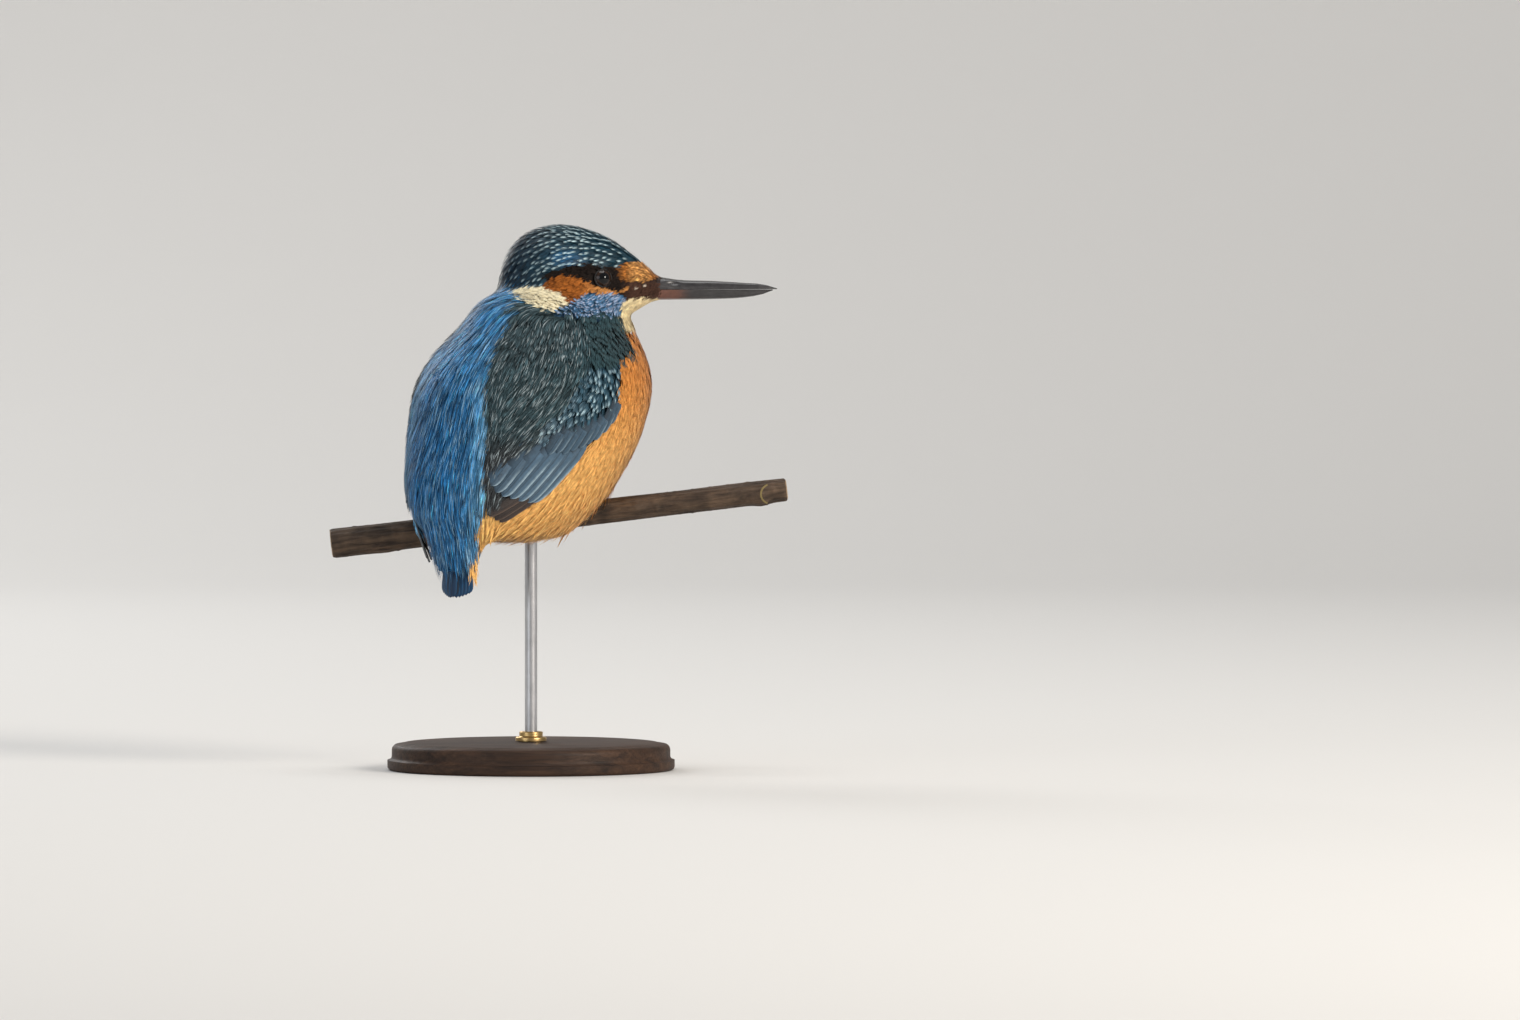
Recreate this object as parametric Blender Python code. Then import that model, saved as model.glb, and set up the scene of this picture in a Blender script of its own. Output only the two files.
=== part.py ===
"""A common kingfisher at rest, life size, on a cut length of branch held by a plain display stand.

Frame: +Z up, +X along the bill, origin at the centre of the base's underside.
The body faces halfway between +X and +Y, and the head is turned to its right, so that the bill lies along +X.
Bird points are given as (forward, left, height) in the body's own frame, in millimetres.
"""

import math

import bmesh
import bpy
import numpy as np
from mathutils import Matrix, Vector

MM = 0.001
GAP = 0.3  # clearance between neighbouring pieces

# Pose
BODY_YAW = math.radians(45)  # from +X towards +Y
HEAD_SIDE = 5.5  # the head's middle plane, along +Y

# Trunk: (height, middle forward, half depth, half width), a stack of level ellipses
TRUNK = (
    (73.0, -3.0, 8.0, 6.0),
    (75.0, -9.0, 23.0, 15.5),
    (80.0, -12.2, 31.6, 22.6),
    (86.4, -10.5, 34.6, 28.0),
    (92.8, -8.8, 36.6, 31.0),
    (99.2, -6.1, 38.0, 33.4),
    (105.6, -3.4, 39.1, 35.0),
    (112.0, -1.4, 39.4, 35.7),
    (118.4, 0.4, 40.2, 35.7),
    (124.8, 2.0, 39.2, 35.0),
    (131.2, 3.4, 36.6, 32.6),
    (137.6, 5.4, 32.6, 28.2),
    (144.0, 7.6, 29.0, 23.4),
    (149.0, 7.4, 25.6, 19.0),
    (153.0, 8.4, 18.0, 14.0),
    (156.0, 10.0, 4.0, 4.0),
)

# Rump and tail coverts, below and behind the trunk, in the same columns
RUMP = (
    (63.0, -34.2, 2.6, 6.8),
    (66.0, -33.9, 4.4, 7.8),
    (70.0, -33.5, 6.4, 9.0),
    (77.0, -32.8, 9.4, 10.6),
    (86.0, -32.4, 10.6, 12.6),
    (96.0, -30.0, 9.0, 12.6),
    (100.0, -28.0, 6.0, 9.0),
)

# Tail feathers: (height, middle forward, half thickness, half width)
TAIL = (
    (92.0, -32.6, 2.4, 5.6),
    (80.0, -33.8, 2.2, 6.6),
    (68.0, -34.2, 1.7, 7.3),
    (60.0, -34.3, 1.2, 7.7),
    (56.6, -34.3, 0.8, 7.3),
    (55.7, -34.3, 0.5, 5.6),
)

# Head: (place along X, top, bottom, half width); the cheeks are widest at HEAD_MIDDLE
HEAD_MIDDLE = 154.6
HEAD = (
    (-10.4, 157.0, 152.6, 2.0),
    (-9.4, 161.2, 150.4, 5.6),
    (-6.6, 167.2, 147.6, 9.6),
    (-1.5, 171.9, 145.2, 12.6),
    (6.0, 174.4, 143.6, 14.3),
    (14.0, 174.1, 143.0, 14.5),
    (21.0, 172.0, 143.2, 12.9),
    (28.0, 168.4, 144.4, 10.7),
    (33.5, 164.5, 146.9, 8.2),
    (37.6, 160.8, 149.4, 6.2),
    (40.2, 158.4, 150.3, 5.0),
)
NECK_TOP = (Vector((11.0, 4.0, 148.0)), Vector((0.12, 0.0, 0.99)).normalized())
NECK_DEPTH = 5.0

# Bill: (place along X, distance from the line of the mouth, half width)
MOUTH_LINE = 153.7
BILL_UPPER = (
    (33.0, 4.6, 4.4),
    (40.0, 4.2, 4.1),
    (46.0, 3.2, 3.3),
    (58.0, 2.7, 2.3),
    (68.0, 2.1, 1.6),
    (75.0, 1.5, 1.0),
    (78.8, 0.35, 0.35),
)
BILL_LOWER = (
    (33.0, 3.5, 4.2),
    (40.0, 3.4, 3.9),
    (46.0, 3.3, 3.1),
    (58.0, 3.1, 2.1),
    (68.0, 2.6, 1.4),
    (74.0, 1.6, 0.9),
    (77.4, 0.35, 0.3),
)

# Eyes
EYE_PLACE = (22.6, 157.3)
EYE_RADIUS = 3.3
EYE_OUT = 10.1  # from the head's middle plane to the eye's centre

# Wings: (height, front edge, rear edge), the edges in degrees round the trunk from its front
WING = (
    (79.0, 137.0, 141.5),
    (81.5, 128.0, 142.5),
    (85.5, 116.0, 143.5),
    (90.0, 106.5, 144.5),
    (96.0, 101.5, 147.0),
    (103.0, 97.0, 149.5),
    (109.0, 87.5, 151.0),
    (117.0, 84.0, 153.5),
    (124.0, 83.0, 156.0),
    (131.0, 84.5, 157.0),
    (137.0, 91.0, 153.0),
    (140.6, 106.0, 144.0),
)
WING_OUT = 0.7  # how far the folded wing stands out of the trunk
WING_DEPTH = 2.0
WING_RIM = 0.2
WING_GAP = 0.6
WING_DROOP = {"right": 0.0, "left": 11.0}  # how much lower each tip hangs
WING_TURN = {"right": 0.0, "left": 16.0}  # how far each tip's front edge keeps back, in degrees
WING_TUCK = {"right": 0.0, "left": 2.6}  # how far in each tip lies

# Branch
BRANCH_HEIGHT = 80.0  # of its middle, over the origin
BRANCH_SLOPE = math.tan(math.radians(6.75))
BRANCH_ENDS = (-64.0, 82.0)
BRANCH_RADIUS = (4.7, 3.6)  # at its two ends
BRANCH_KNOTS = ((-48.0, 0.9, 200), (34.5, 0.8, 80), (73.0, 1.0, 150))  # place, rise, side in degrees

# Feet
FOOT_PLACES = {"left": -10.0, "right": 10.0}  # along the branch
TOE_RADIUS = 1.05
TOES = {  # offset along the branch, first and last degrees round it from its top, length on top
    "inner": (-3.3, 25.0, -112.0),
    "middle": (0.0, 25.0, -138.0),
    "outer": (2.3, 25.0, -124.0),
    "hind": (-0.6, -20.0, 96.0),
}
SHANK_RADIUS = 1.5
SHANK_LENGTH = 8.5
FEET_ROOM = (-17.0, 17.0)  # along the branch
FEET_ROOM_HALF = 8.2
SLOT_DROP = 24.0
CLAW_LENGTH = 34.0  # in degrees round the branch
CLAW_RADIUS = 0.62

# Stand
BASE_RADIUS = 46.0
BASE_HEIGHT = 9.0
BASE_BEVEL = 1.6
ROD_RADIUS = 2.0
FERRULE_RADIUS = 5.0
FERRULE_HEIGHT = 3.0


def clear_scene():
    for thing in list(bpy.data.objects):
        bpy.data.objects.remove(thing)


def material(name, colour, roughness, metallic=0.0):
    made = bpy.data.materials.get(name) or bpy.data.materials.new(name)
    made.use_nodes = True
    shader = made.node_tree.nodes["Principled BSDF"]
    shader.inputs["Base Color"].default_value = (*colour, 1.0)
    shader.inputs["Roughness"].default_value = roughness
    shader.inputs["Metallic"].default_value = metallic
    return made


def smooth_between(stations, count):
    """Stations read at count even steps of the first column, on a Catmull-Rom curve through them."""
    rows = np.array(stations, float)
    key = rows[:, 0]
    slopes = np.gradient(rows, key, axis=0)
    out = []
    for at in np.linspace(key[0], key[-1], count):
        falling = key[0] > key[-1]
        i = int(np.searchsorted(-key if falling else key, -at if falling else at, side="right")) - 1
        i = min(max(i, 0), len(key) - 2)
        step = key[i + 1] - key[i]
        t = (at - key[i]) / step
        a, b = rows[i], rows[i + 1]
        out.append(
            (2 * t**3 - 3 * t**2 + 1) * a
            + (t**3 - 2 * t**2 + t) * step * slopes[i]
            + (3 * t**2 - 2 * t**3) * b
            + (t**3 - t**2) * step * slopes[i + 1]
        )
    return np.array(out)


def in_world(forward, left, height):
    """A point of the bird's body, in the row frame."""
    c, s = math.cos(BODY_YAW), math.sin(BODY_YAW)
    return (forward * c - left * s, forward * s + left * c, height)


def add_mesh(name, points, faces, finish):
    mesh = bpy.data.meshes.new(name)
    mesh.from_pydata([tuple(c * MM for c in p) for p in points], [], faces)
    mesh.materials.append(finish)
    made = bpy.data.objects.new(name, mesh)
    bpy.context.scene.collection.objects.link(made)
    turn_outwards(mesh)
    mesh.shade_smooth()
    return made


def turn_outwards(mesh):
    work = bmesh.new()
    work.from_mesh(mesh)
    bmesh.ops.recalc_face_normals(work, faces=work.faces)
    if work.calc_volume(signed=True) < 0:
        bmesh.ops.reverse_faces(work, faces=work.faces)
    work.to_mesh(mesh)
    work.free()


def loft(name, rings, finish):
    """A closed skin over rings of equal length, with a flat cap on each end."""
    size = len(rings[0])
    points = [p for ring in rings for p in ring]
    faces = [tuple(range(size))]
    for low in range(0, (len(rings) - 1) * size, size):
        for i in range(size):
            j = (i + 1) % size
            faces.append((low + i, low + j, low + size + j, low + size + i))
    faces.append(tuple(range(len(points) - size, len(points))))
    return add_mesh(name, points, faces, finish)


def around(count):
    return [2 * math.pi * i / count for i in range(count)]


def level_rings(stations, levels, count):
    """Rings of a stack of level ellipses in the body's frame."""
    return [
        [
            in_world(middle + depth * math.cos(a), width * math.sin(a), height)
            for a in around(count)
        ]
        for height, middle, depth, width in smooth_between(stations, levels)
    ]


def head_rings(levels, count):
    rings = []
    for x, top, bottom, width in smooth_between(HEAD, levels):
        ring = []
        for a in around(count):
            rise = top - HEAD_MIDDLE if math.sin(a) > 0 else HEAD_MIDDLE - bottom
            ring.append((x, HEAD_SIDE + width * math.cos(a), HEAD_MIDDLE + rise * math.sin(a)))
        rings.append(ring)
    return rings


def settle(thing):
    """Replaces a mesh object's modifiers by their result."""
    graph = bpy.context.evaluated_depsgraph_get()
    mesh = bpy.data.meshes.new_from_object(thing.evaluated_get(graph))
    thing.modifiers.clear()
    thing.data = mesh
    return thing


def fuse(name, things, voxel, smoothing, share):
    """Overlapping closed shapes as one soft body: remeshed, smoothed and thinned to a share of its faces."""
    first = things[0]
    with bpy.context.temp_override(
        active_object=first, object=first, selected_editable_objects=things, selected_objects=things
    ):
        bpy.ops.object.join()
    first.name = name
    remesh = first.modifiers.new("one_body", "REMESH")
    remesh.mode = "VOXEL"
    remesh.voxel_size = voxel * MM
    remesh.use_smooth_shade = True
    smooth = first.modifiers.new("soften", "SMOOTH")
    smooth.factor = 0.5
    smooth.iterations = smoothing
    thin = first.modifiers.new("thin", "DECIMATE")
    thin.ratio = share
    return settle(first)


def hide(cutter):
    cutter.hide_render = True
    cutter.display_type = "WIRE"
    return cutter


def combine(thing, other, operation):
    modifier = thing.modifiers.new(operation.lower() + "_" + other.name, "BOOLEAN")
    modifier.operation = operation
    modifier.object = other
    modifier.solver = "EXACT"


def cut(thing, *cutters):
    for cutter in cutters:
        combine(thing, hide(cutter), "DIFFERENCE")


def half_space(name, point, normal):
    """A large box whose near face passes through point, and which fills the side that normal points to."""
    size = 240.0
    bpy.ops.mesh.primitive_cube_add(size=size * MM)
    made = bpy.context.object
    made.name = name
    turn = normal.to_track_quat("Z", "Y")
    made.rotation_mode = "QUATERNION"
    made.rotation_quaternion = turn
    made.location = (point + normal * size / 2) * MM
    return hide(made)


def copy_of(thing, name):
    made = thing.copy()
    made.data = thing.data.copy()
    made.name = name
    bpy.context.scene.collection.objects.link(made)
    return made


def branch_point(x):
    return Vector((x, 0.0, BRANCH_HEIGHT + BRANCH_SLOPE * x))


def branch_radius(x):
    start, end = BRANCH_ENDS
    return BRANCH_RADIUS[0] + (BRANCH_RADIUS[1] - BRANCH_RADIUS[0]) * (x - start) / (end - start)


def round_branch(x, degrees, radius):
    """A point at an angle round the branch: 0 is its top and +90 its near side, -Y."""
    a = math.radians(degrees)
    along = Vector((1.0, 0.0, BRANCH_SLOPE)).normalized()
    up = along.cross(Vector((0.0, -1.0, 0.0))) * -1.0
    if up.z < 0:
        up = -up
    return branch_point(x) + up * (radius * math.cos(a)) + Vector((0.0, -1.0, 0.0)) * (radius * math.sin(a))


# ---- pieces of the bird


def body_shape():
    """Trunk, rump and head in one, with a soft neck, before it is parted."""
    finish = material("plumage", (0.10, 0.30, 0.42), 0.7)
    trunk = loft("body", level_rings(TRUNK, 34, 48), finish)
    rump = loft("rump_shape", level_rings(RUMP, 14, 28), finish)
    head = loft("head_shape", head_rings(26, 36), finish)
    return fuse("body", [trunk, rump, head], voxel=1.25, smoothing=5, share=0.062)


def trunk_point(height, degrees, out, side, fall=0.0):
    """A point on the trunk's outside, at an angle from its front, moved out along the level, then lowered."""
    middle, depth, width = np.array(
        [np.interp(height, [s[0] for s in TRUNK], [s[k] for s in TRUNK]) for k in (1, 2, 3)]
    )
    a = math.radians(degrees)
    hand = 1.0 if side == "left" else -1.0
    return in_world(
        middle + (depth + out) * math.cos(a), hand * (width + out) * math.sin(a), height - fall
    )


def wing(name, side, grow=0.0):
    """A folded wing: a curved shell on the trunk's side, thickest in its middle."""
    finish = material("wing_feathers", (0.04, 0.13, 0.17), 0.6)
    rows = smooth_between(WING, 16)
    columns = 9
    low, high = WING[0][0], WING[-1][0]
    outer, inner = [], []
    for i, (height, front, rear) in enumerate(rows):
        up = (height - low) / (high - low)
        tip = (1.0 - up) ** 3
        fall = WING_DROOP[side] * tip - grow * (2 * up - 1)
        front = min(front + WING_TURN[side] * tip, rear - 3.0)
        rim = WING_RIM - WING_TUCK[side] * tip
        spread = grow * math.degrees(1 / 34.0)
        for j in range(columns):
            across = j / (columns - 1)
            angle = (front - spread) * (1 - across) + (rear + spread) * across
            crown = math.sin(math.pi * across) ** 0.6 * math.sin(math.pi * min(1, 0.12 + 0.88 * up)) ** 0.4
            crown = max(0.0, crown) if up < 1 else 0.0
            outer.append(trunk_point(height, angle, rim + WING_OUT * crown + grow, side, fall))
            inner.append(trunk_point(height, angle, rim - WING_DEPTH - grow, side, fall))
    points = outer + inner
    count = len(outer)
    faces = []
    for i in range(len(rows) - 1):
        for j in range(columns - 1):
            k = i * columns + j
            quad = (k, k + 1, k + columns + 1, k + columns)
            for corners in (quad[:3], (quad[0], quad[2], quad[3])):
                faces.append(corners)
                faces.append(tuple(count + c for c in reversed(corners)))
    rim = (
        [j for j in range(columns)]
        + [i * columns + columns - 1 for i in range(1, len(rows))]
        + [(len(rows) - 1) * columns + j for j in range(columns - 2, -1, -1)]
        + [i * columns for i in range(len(rows) - 2, 0, -1)]
    )
    for a, b in zip(rim, rim[1:] + rim[:1]):
        faces.append((a, b, count + b))
        faces.append((a, count + b, count + a))
    return add_mesh(name, points, faces, finish)


def tail(name, grow=0.0):
    finish = material("tail_feathers", (0.03, 0.14, 0.26), 0.55)
    stations = [(h, m, t + grow, w + grow) for h, m, t, w in TAIL]
    top, bottom = stations[0], stations[-1]
    if grow:
        stations = [(top[0] + grow, *top[1:])] + stations[1:-1] + [(bottom[0] - grow, *bottom[1:])]
    return loft(name, level_rings(stations, 12, 16), finish)


def bill_half(name, stations, way, grow=0.0):
    """Upper bill with way +1, lower with way -1: flat at the mouth, rounded to a ridge."""
    finish = material("bill", (0.015, 0.014, 0.016), 0.3)
    rings = []
    read = smooth_between(stations, 15)
    for i, (x, deep, width) in enumerate(read):
        deep, width = max(deep, 0.25), max(width, 0.25)
        if i == 0:
            x -= grow
        if i == len(read) - 1:
            x += grow
        ring = []
        for k in range(9):
            a = math.pi * k / 8
            ridge = math.sin(a) ** 0.85
            ring.append(
                (
                    x,
                    HEAD_SIDE + (width + grow) * math.cos(a),
                    MOUTH_LINE + way * (GAP / 2 - grow + (deep - GAP / 2 + 2 * grow) * ridge),
                )
            )
        rings.append(ring)
    return loft(name, rings, finish)


def eye(name, side, grow=0.0):
    bpy.ops.mesh.primitive_uv_sphere_add(
        segments=16, ring_count=10, radius=(EYE_RADIUS + grow) * MM, align="WORLD"
    )
    made = bpy.context.object
    made.name = name
    hand = 1.0 if side == "left" else -1.0
    made.location = Vector((EYE_PLACE[0], HEAD_SIDE + hand * EYE_OUT, EYE_PLACE[1])) * MM
    made.data.materials.append(material("eye", (0.02, 0.012, 0.008), 0.05))
    made.data.shade_smooth()
    return made


# ---- legs


def tube(name, points, radii, finish, sides=10):
    """A round tube along points, with a radius at each."""
    rings = []
    for i, here in enumerate(points):
        before, after = points[max(i - 1, 0)], points[min(i + 1, len(points) - 1)]
        along = (after - before).normalized()
        across = along.cross(Vector((0.0, 1.0, 0.0)))
        if across.length < 0.3:
            across = along.cross(Vector((1.0, 0.0, 0.0)))
        across.normalize()
        other = along.cross(across)
        rings.append(
            [
                tuple(here + across * radii[i] * math.cos(a) + other * radii[i] * math.sin(a))
                for a in around(sides)
            ]
        )
    return loft(name, rings, finish)


def toe_tube(name, place, toe, finish):
    offset, first, last = TOES[toe]
    out = TOE_RADIUS + GAP
    steps = 12
    points = []
    radii = []
    for k in range(steps + 1):
        t = k / steps
        x = place + offset * min(1.0, 0.35 + 1.6 * t)
        points.append(round_branch(x, first + (last - first) * t, branch_radius(x) + out + 0.25))
        radii.append(TOE_RADIUS * (1.08 - 0.3 * t))
    return tube(name, points, radii, finish)


def shank_line(side):
    """The bare leg, from the foot up into the belly, leaning with the body."""
    foot = round_branch(FOOT_PLACES[side], 0.0, branch_radius(0) + TOE_RADIUS + GAP)
    lean = Vector((-0.18 if side == "right" else 0.18, 0.10, 1.0)).normalized()
    return foot, foot + lean * SHANK_LENGTH


def shank(name, side, grow=0.0):
    finish = material("feet", (0.55, 0.09, 0.04), 0.45)
    low, high = shank_line(side)
    top = high + (high - low).normalized() * grow
    return tube(name, [low, low.lerp(top, 0.5), top], [SHANK_RADIUS + grow] * 3, finish)


def foot(side):
    """A bare leg with its four toes."""
    finish = material("feet", (0.55, 0.09, 0.04), 0.45)
    parts = [toe_tube(toe, FOOT_PLACES[side], toe, finish) for toe in TOES]
    parts.append(shank("shank", side))
    return fuse("foot_" + side, parts, voxel=0.42, smoothing=2, share=0.13)


def claw(side, toe):
    finish = material("claws", (0.03, 0.02, 0.02), 0.35)
    offset, first, last = TOES[toe]
    way = math.copysign(1.0, last - first)
    x = FOOT_PLACES[side] + offset
    end_radius = branch_radius(x) + TOE_RADIUS + GAP + 0.25
    points, radii = [], []
    for k in range(5):
        t = k / 4
        start = last + way * 7.0
        drop = 0.9 * t**2
        points.append(round_branch(x, start + way * CLAW_LENGTH * t, end_radius + 0.15 - drop))
        radii.append(CLAW_RADIUS * (1 - t) + 0.12)
    return tube("claw_" + side + "_" + toe, points, radii, finish, sides=6)


# ---- perch and stand


def perch():
    finish = material("bark", (0.05, 0.035, 0.025), 0.75)
    rings = []
    start, end = BRANCH_ENDS
    for x in np.linspace(start, end, 34):
        ring = []
        for a in around(14):
            rise = sum(
                height * math.exp(-(((x - place) / 2.2) ** 2))
                * max(0.0, math.cos(a - math.radians(side))) ** 3
                for place, height, side in BRANCH_KNOTS
            )
            ring.append(tuple(round_branch(x, math.degrees(a), branch_radius(x) + rise)))
        rings.append(ring)
    return loft("perch", rings, finish)


def perch_room():
    """The slot that the branch takes out of the belly feathers, open below."""
    half = BRANCH_RADIUS[0] + 0.5
    return slot("perch_room", (-60.0, 60.0), half, [(half, -SLOT_DROP)])


def feet_room():
    """The room round both feet: closed on the near side, and open on the far side, in front of the toes."""
    return slot("feet_room", FEET_ROOM, FEET_ROOM_HALF, [(40.0, -SLOT_DROP), (40.0, 1.0)])


def slot(name, ends, half, side):
    """A tunnel along the branch, arched over it, with its far wall through the points of side."""
    rings = []
    for x in ends:
        centre = branch_point(x)
        ring = [(x, -half, centre.z - SLOT_DROP)] + [(x, y, centre.z + z) for y, z in side]
        for k in range(9):
            a = math.pi * k / 8
            ring.append((x, half * math.cos(a), centre.z + half * math.sin(a)))
        rings.append(ring)
    return loft(name, rings, material("bark", (0.05, 0.035, 0.025), 0.75))


def cylinder(name, radius, low, high, finish, bevel=0.0, sides=24):
    bpy.ops.mesh.primitive_cylinder_add(
        vertices=sides, radius=radius * MM, depth=(high - low) * MM, location=(0, 0, (low + high) / 2 * MM)
    )
    made = bpy.context.object
    made.name = name
    made.data.materials.append(finish)
    if bevel:
        edge = made.modifiers.new("soft_edge", "BEVEL")
        edge.width = bevel * MM
        edge.segments = 2
        edge.limit_method = "ANGLE"
    made.data.shade_smooth()
    made.data.set_sharp_from_angle(angle=math.radians(40))
    return made


def stand():
    wood = material("stand_wood", (0.06, 0.035, 0.02), 0.45)
    steel = material("stand_metal", (0.62, 0.60, 0.56), 0.3, 1.0)
    cylinder("stand_base", BASE_RADIUS, 0.0, BASE_HEIGHT, wood, BASE_BEVEL, sides=64)
    ferrule = cylinder(
        "stand_ferrule", FERRULE_RADIUS, BASE_HEIGHT + GAP, BASE_HEIGHT + GAP + FERRULE_HEIGHT, steel, 0.6
    )
    cut(ferrule, cylinder("rod_room", ROD_RADIUS + GAP, 0.0, 40.0, steel))
    rod = cylinder("stand_rod", ROD_RADIUS, BASE_HEIGHT + GAP, BRANCH_HEIGHT, steel)
    rings = [
        [tuple(round_branch(x, math.degrees(a), branch_radius(0) + GAP)) for a in around(28)]
        for x in (-20.0, 20.0)
    ]
    cut(rod, loft("branch_room", rings, wood))


def build():
    clear_scene()
    body = body_shape()
    up = NECK_TOP[1]
    low = NECK_TOP[0] - up * NECK_DEPTH
    head, neck = copy_of(body, "head"), copy_of(body, "neck")
    trunk = body
    trunk.name = "trunk"

    cut(head, half_space("under_head", NECK_TOP[0] + up * GAP / 2, -up))
    cut(
        neck,
        half_space("over_neck", NECK_TOP[0] - up * GAP / 2, up),
        half_space("under_neck", low + up * GAP / 2, -up),
    )
    cut(trunk, half_space("over_trunk", low - up * GAP / 2, up))

    for name, stations, way in (("bill_upper", BILL_UPPER, 1), ("bill_lower", BILL_LOWER, -1)):
        bill_half(name, stations, way)
        cut(head, bill_half(name + "_room", stations, way, GAP))

    for side in ("left", "right"):
        eye("eye_" + side, side)
        cut(head, eye("eye_room_" + side, side, GAP))
        wing("wing_" + side, side)
        cut(trunk, wing("wing_room_" + side, side, WING_GAP))
        foot(side)
        cut(trunk, shank("leg_room_" + side, side, GAP))
        for toe in TOES:
            claw(side, toe)

    tail("tail")
    cut(trunk, tail("tail_room", GAP))
    cut(trunk, perch_room(), feet_room())
    perch()
    stand()


build()
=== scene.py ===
import math
from itertools import product

import bmesh
import bpy
import numpy as np
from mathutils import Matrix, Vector
from mathutils.bvhtree import BVHTree


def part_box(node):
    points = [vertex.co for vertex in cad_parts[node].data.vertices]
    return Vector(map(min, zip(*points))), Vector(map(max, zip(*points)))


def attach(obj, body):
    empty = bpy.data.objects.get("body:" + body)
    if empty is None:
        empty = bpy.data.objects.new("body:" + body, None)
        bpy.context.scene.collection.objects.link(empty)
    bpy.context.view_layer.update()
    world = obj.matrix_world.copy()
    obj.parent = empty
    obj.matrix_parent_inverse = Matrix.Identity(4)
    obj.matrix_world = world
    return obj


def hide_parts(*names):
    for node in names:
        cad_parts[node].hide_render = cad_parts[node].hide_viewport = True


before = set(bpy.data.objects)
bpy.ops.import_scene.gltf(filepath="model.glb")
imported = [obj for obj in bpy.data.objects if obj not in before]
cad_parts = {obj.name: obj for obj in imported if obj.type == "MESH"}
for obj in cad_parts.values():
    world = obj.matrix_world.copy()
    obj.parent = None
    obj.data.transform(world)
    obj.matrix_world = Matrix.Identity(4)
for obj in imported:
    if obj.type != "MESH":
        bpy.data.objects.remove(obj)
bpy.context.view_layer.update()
scene = bpy.context.scene
mm = 0.001  # lengths are in millimetres until a mesh is made


def deselectAll():
    if bpy.context.mode != "OBJECT":
        bpy.ops.object.mode_set(mode="OBJECT")
    for thing in bpy.context.selected_objects:
        thing.select_set(False)


def pick(thing):
    deselectAll()
    thing.select_set(True)
    bpy.context.view_layer.objects.active = thing


def editAll(thing):
    pick(thing)
    bpy.ops.object.mode_set(mode="EDIT")
    bpy.ops.mesh.select_all(action="SELECT")


def faceOutwards(thing):
    editAll(thing)
    bpy.ops.mesh.normals_make_consistent(inside=False)
    bpy.ops.object.mode_set(mode="OBJECT")


def modify(thing, name, kind, **settings):
    made = thing.modifiers.new(name, kind)
    for key, value in settings.items():
        setattr(made, key, value)


def applyAll(thing):
    pick(thing)
    for modifier in list(thing.modifiers):
        bpy.ops.object.modifier_apply(modifier=modifier.name)


def remeshed(thing, voxel, times):
    # overlapping solids become one even, softened mesh
    modify(thing, "oneForm", "REMESH", mode="VOXEL", voxel_size=voxel * mm)
    modify(thing, "soften", "SMOOTH", iterations=times)
    applyAll(thing)


def copyOfNodes(name, nodes):
    copies = []
    for nodeName in nodes:
        copies.append(bpy.data.objects.new(name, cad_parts[nodeName].data.copy()))
        scene.collection.objects.link(copies[-1])
    joined = copies[0]
    pick(joined)
    for made in copies[1:]:
        made.select_set(True)
    if len(copies) > 1:
        bpy.ops.object.join()
    joined.data.materials.clear()
    editAll(joined)
    bpy.ops.mesh.remove_doubles(threshold=0.00001)
    faceOutwards(joined)
    return joined


def finishPiece(thing, material, slot, *nodes):
    thing.data.materials.append(material)
    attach(thing, "root")
    if nodes:
        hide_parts(*nodes)


def meshPiece(name, points, triangles, maps=None, colours=None):
    mesh = bpy.data.meshes.new(name)
    mesh.vertices.add(len(points))
    mesh.vertices.foreach_set("co", (points * mm).astype(np.float32).ravel())
    mesh.loops.add(triangles.size)
    mesh.loops.foreach_set("vertex_index", triangles.astype(np.int32).ravel())
    mesh.polygons.add(len(triangles))
    mesh.polygons.foreach_set("loop_start", np.arange(0, triangles.size, 3, dtype=np.int32))
    mesh.update(calc_edges=True)
    mesh.polygons.foreach_set("use_smooth", np.ones(len(triangles), dtype=bool))
    for key, values in (maps or {}).items():
        layer = mesh.uv_layers.new(name=key)
        layer.data.foreach_set("uv", values[triangles.ravel()].astype(np.float32).ravel())
    if colours is not None:
        paintPlumage(mesh, colours)
    made = bpy.data.objects.new(name, mesh)
    scene.collection.objects.link(made)
    return made


def paintPlumage(mesh, colours):
    paint = mesh.color_attributes.new("plumage", "FLOAT_COLOR", "POINT")
    full = np.concatenate([colours, np.ones((len(colours), 1))], axis=1)
    paint.data.foreach_set("color", full.astype(np.float32).ravel())


def tubeFaces(rings, sides):
    # rings of points joined to a tube, with a fan at each end
    grid = np.arange(rings * sides).reshape(rings, sides)
    ahead = np.roll(grid, -1, axis=1)
    quads = np.stack([grid[:-1], ahead[:-1], ahead[1:], grid[1:]], axis=-1).reshape(-1, 4)
    faces = [quads[:, [0, 1, 2]], quads[:, [0, 2, 3]]]
    faces.append(np.array([(grid[0, 0], grid[0, k + 1], grid[0, k]) for k in range(1, sides - 1)]))
    faces.append(np.array([(grid[-1, 0], grid[-1, k], grid[-1, k + 1]) for k in range(1, sides - 1)]))
    return np.concatenate(faces)


def verticesOf(thing):
    co = np.empty(len(thing.data.vertices) * 3, np.float32)
    thing.data.vertices.foreach_get("co", co)
    return co.reshape(-1, 3).astype(float) / mm


def moveVertices(thing, places):
    thing.data.vertices.foreach_set("co", (places * mm).astype(np.float32).ravel())
    thing.data.update()


def normalsOf(thing):
    normals = np.empty(len(thing.data.vertices) * 3, np.float32)
    thing.data.vertex_normals.foreach_get("vector", normals)
    return normals.reshape(-1, 3).astype(float)


def smoothstep(low, high, value):
    t = np.clip((value - low) / (high - low), 0.0, 1.0)
    return t * t * (3.0 - 2.0 * t)


def bell(value, wide):
    return np.exp(-((value / wide) ** 2))


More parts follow.
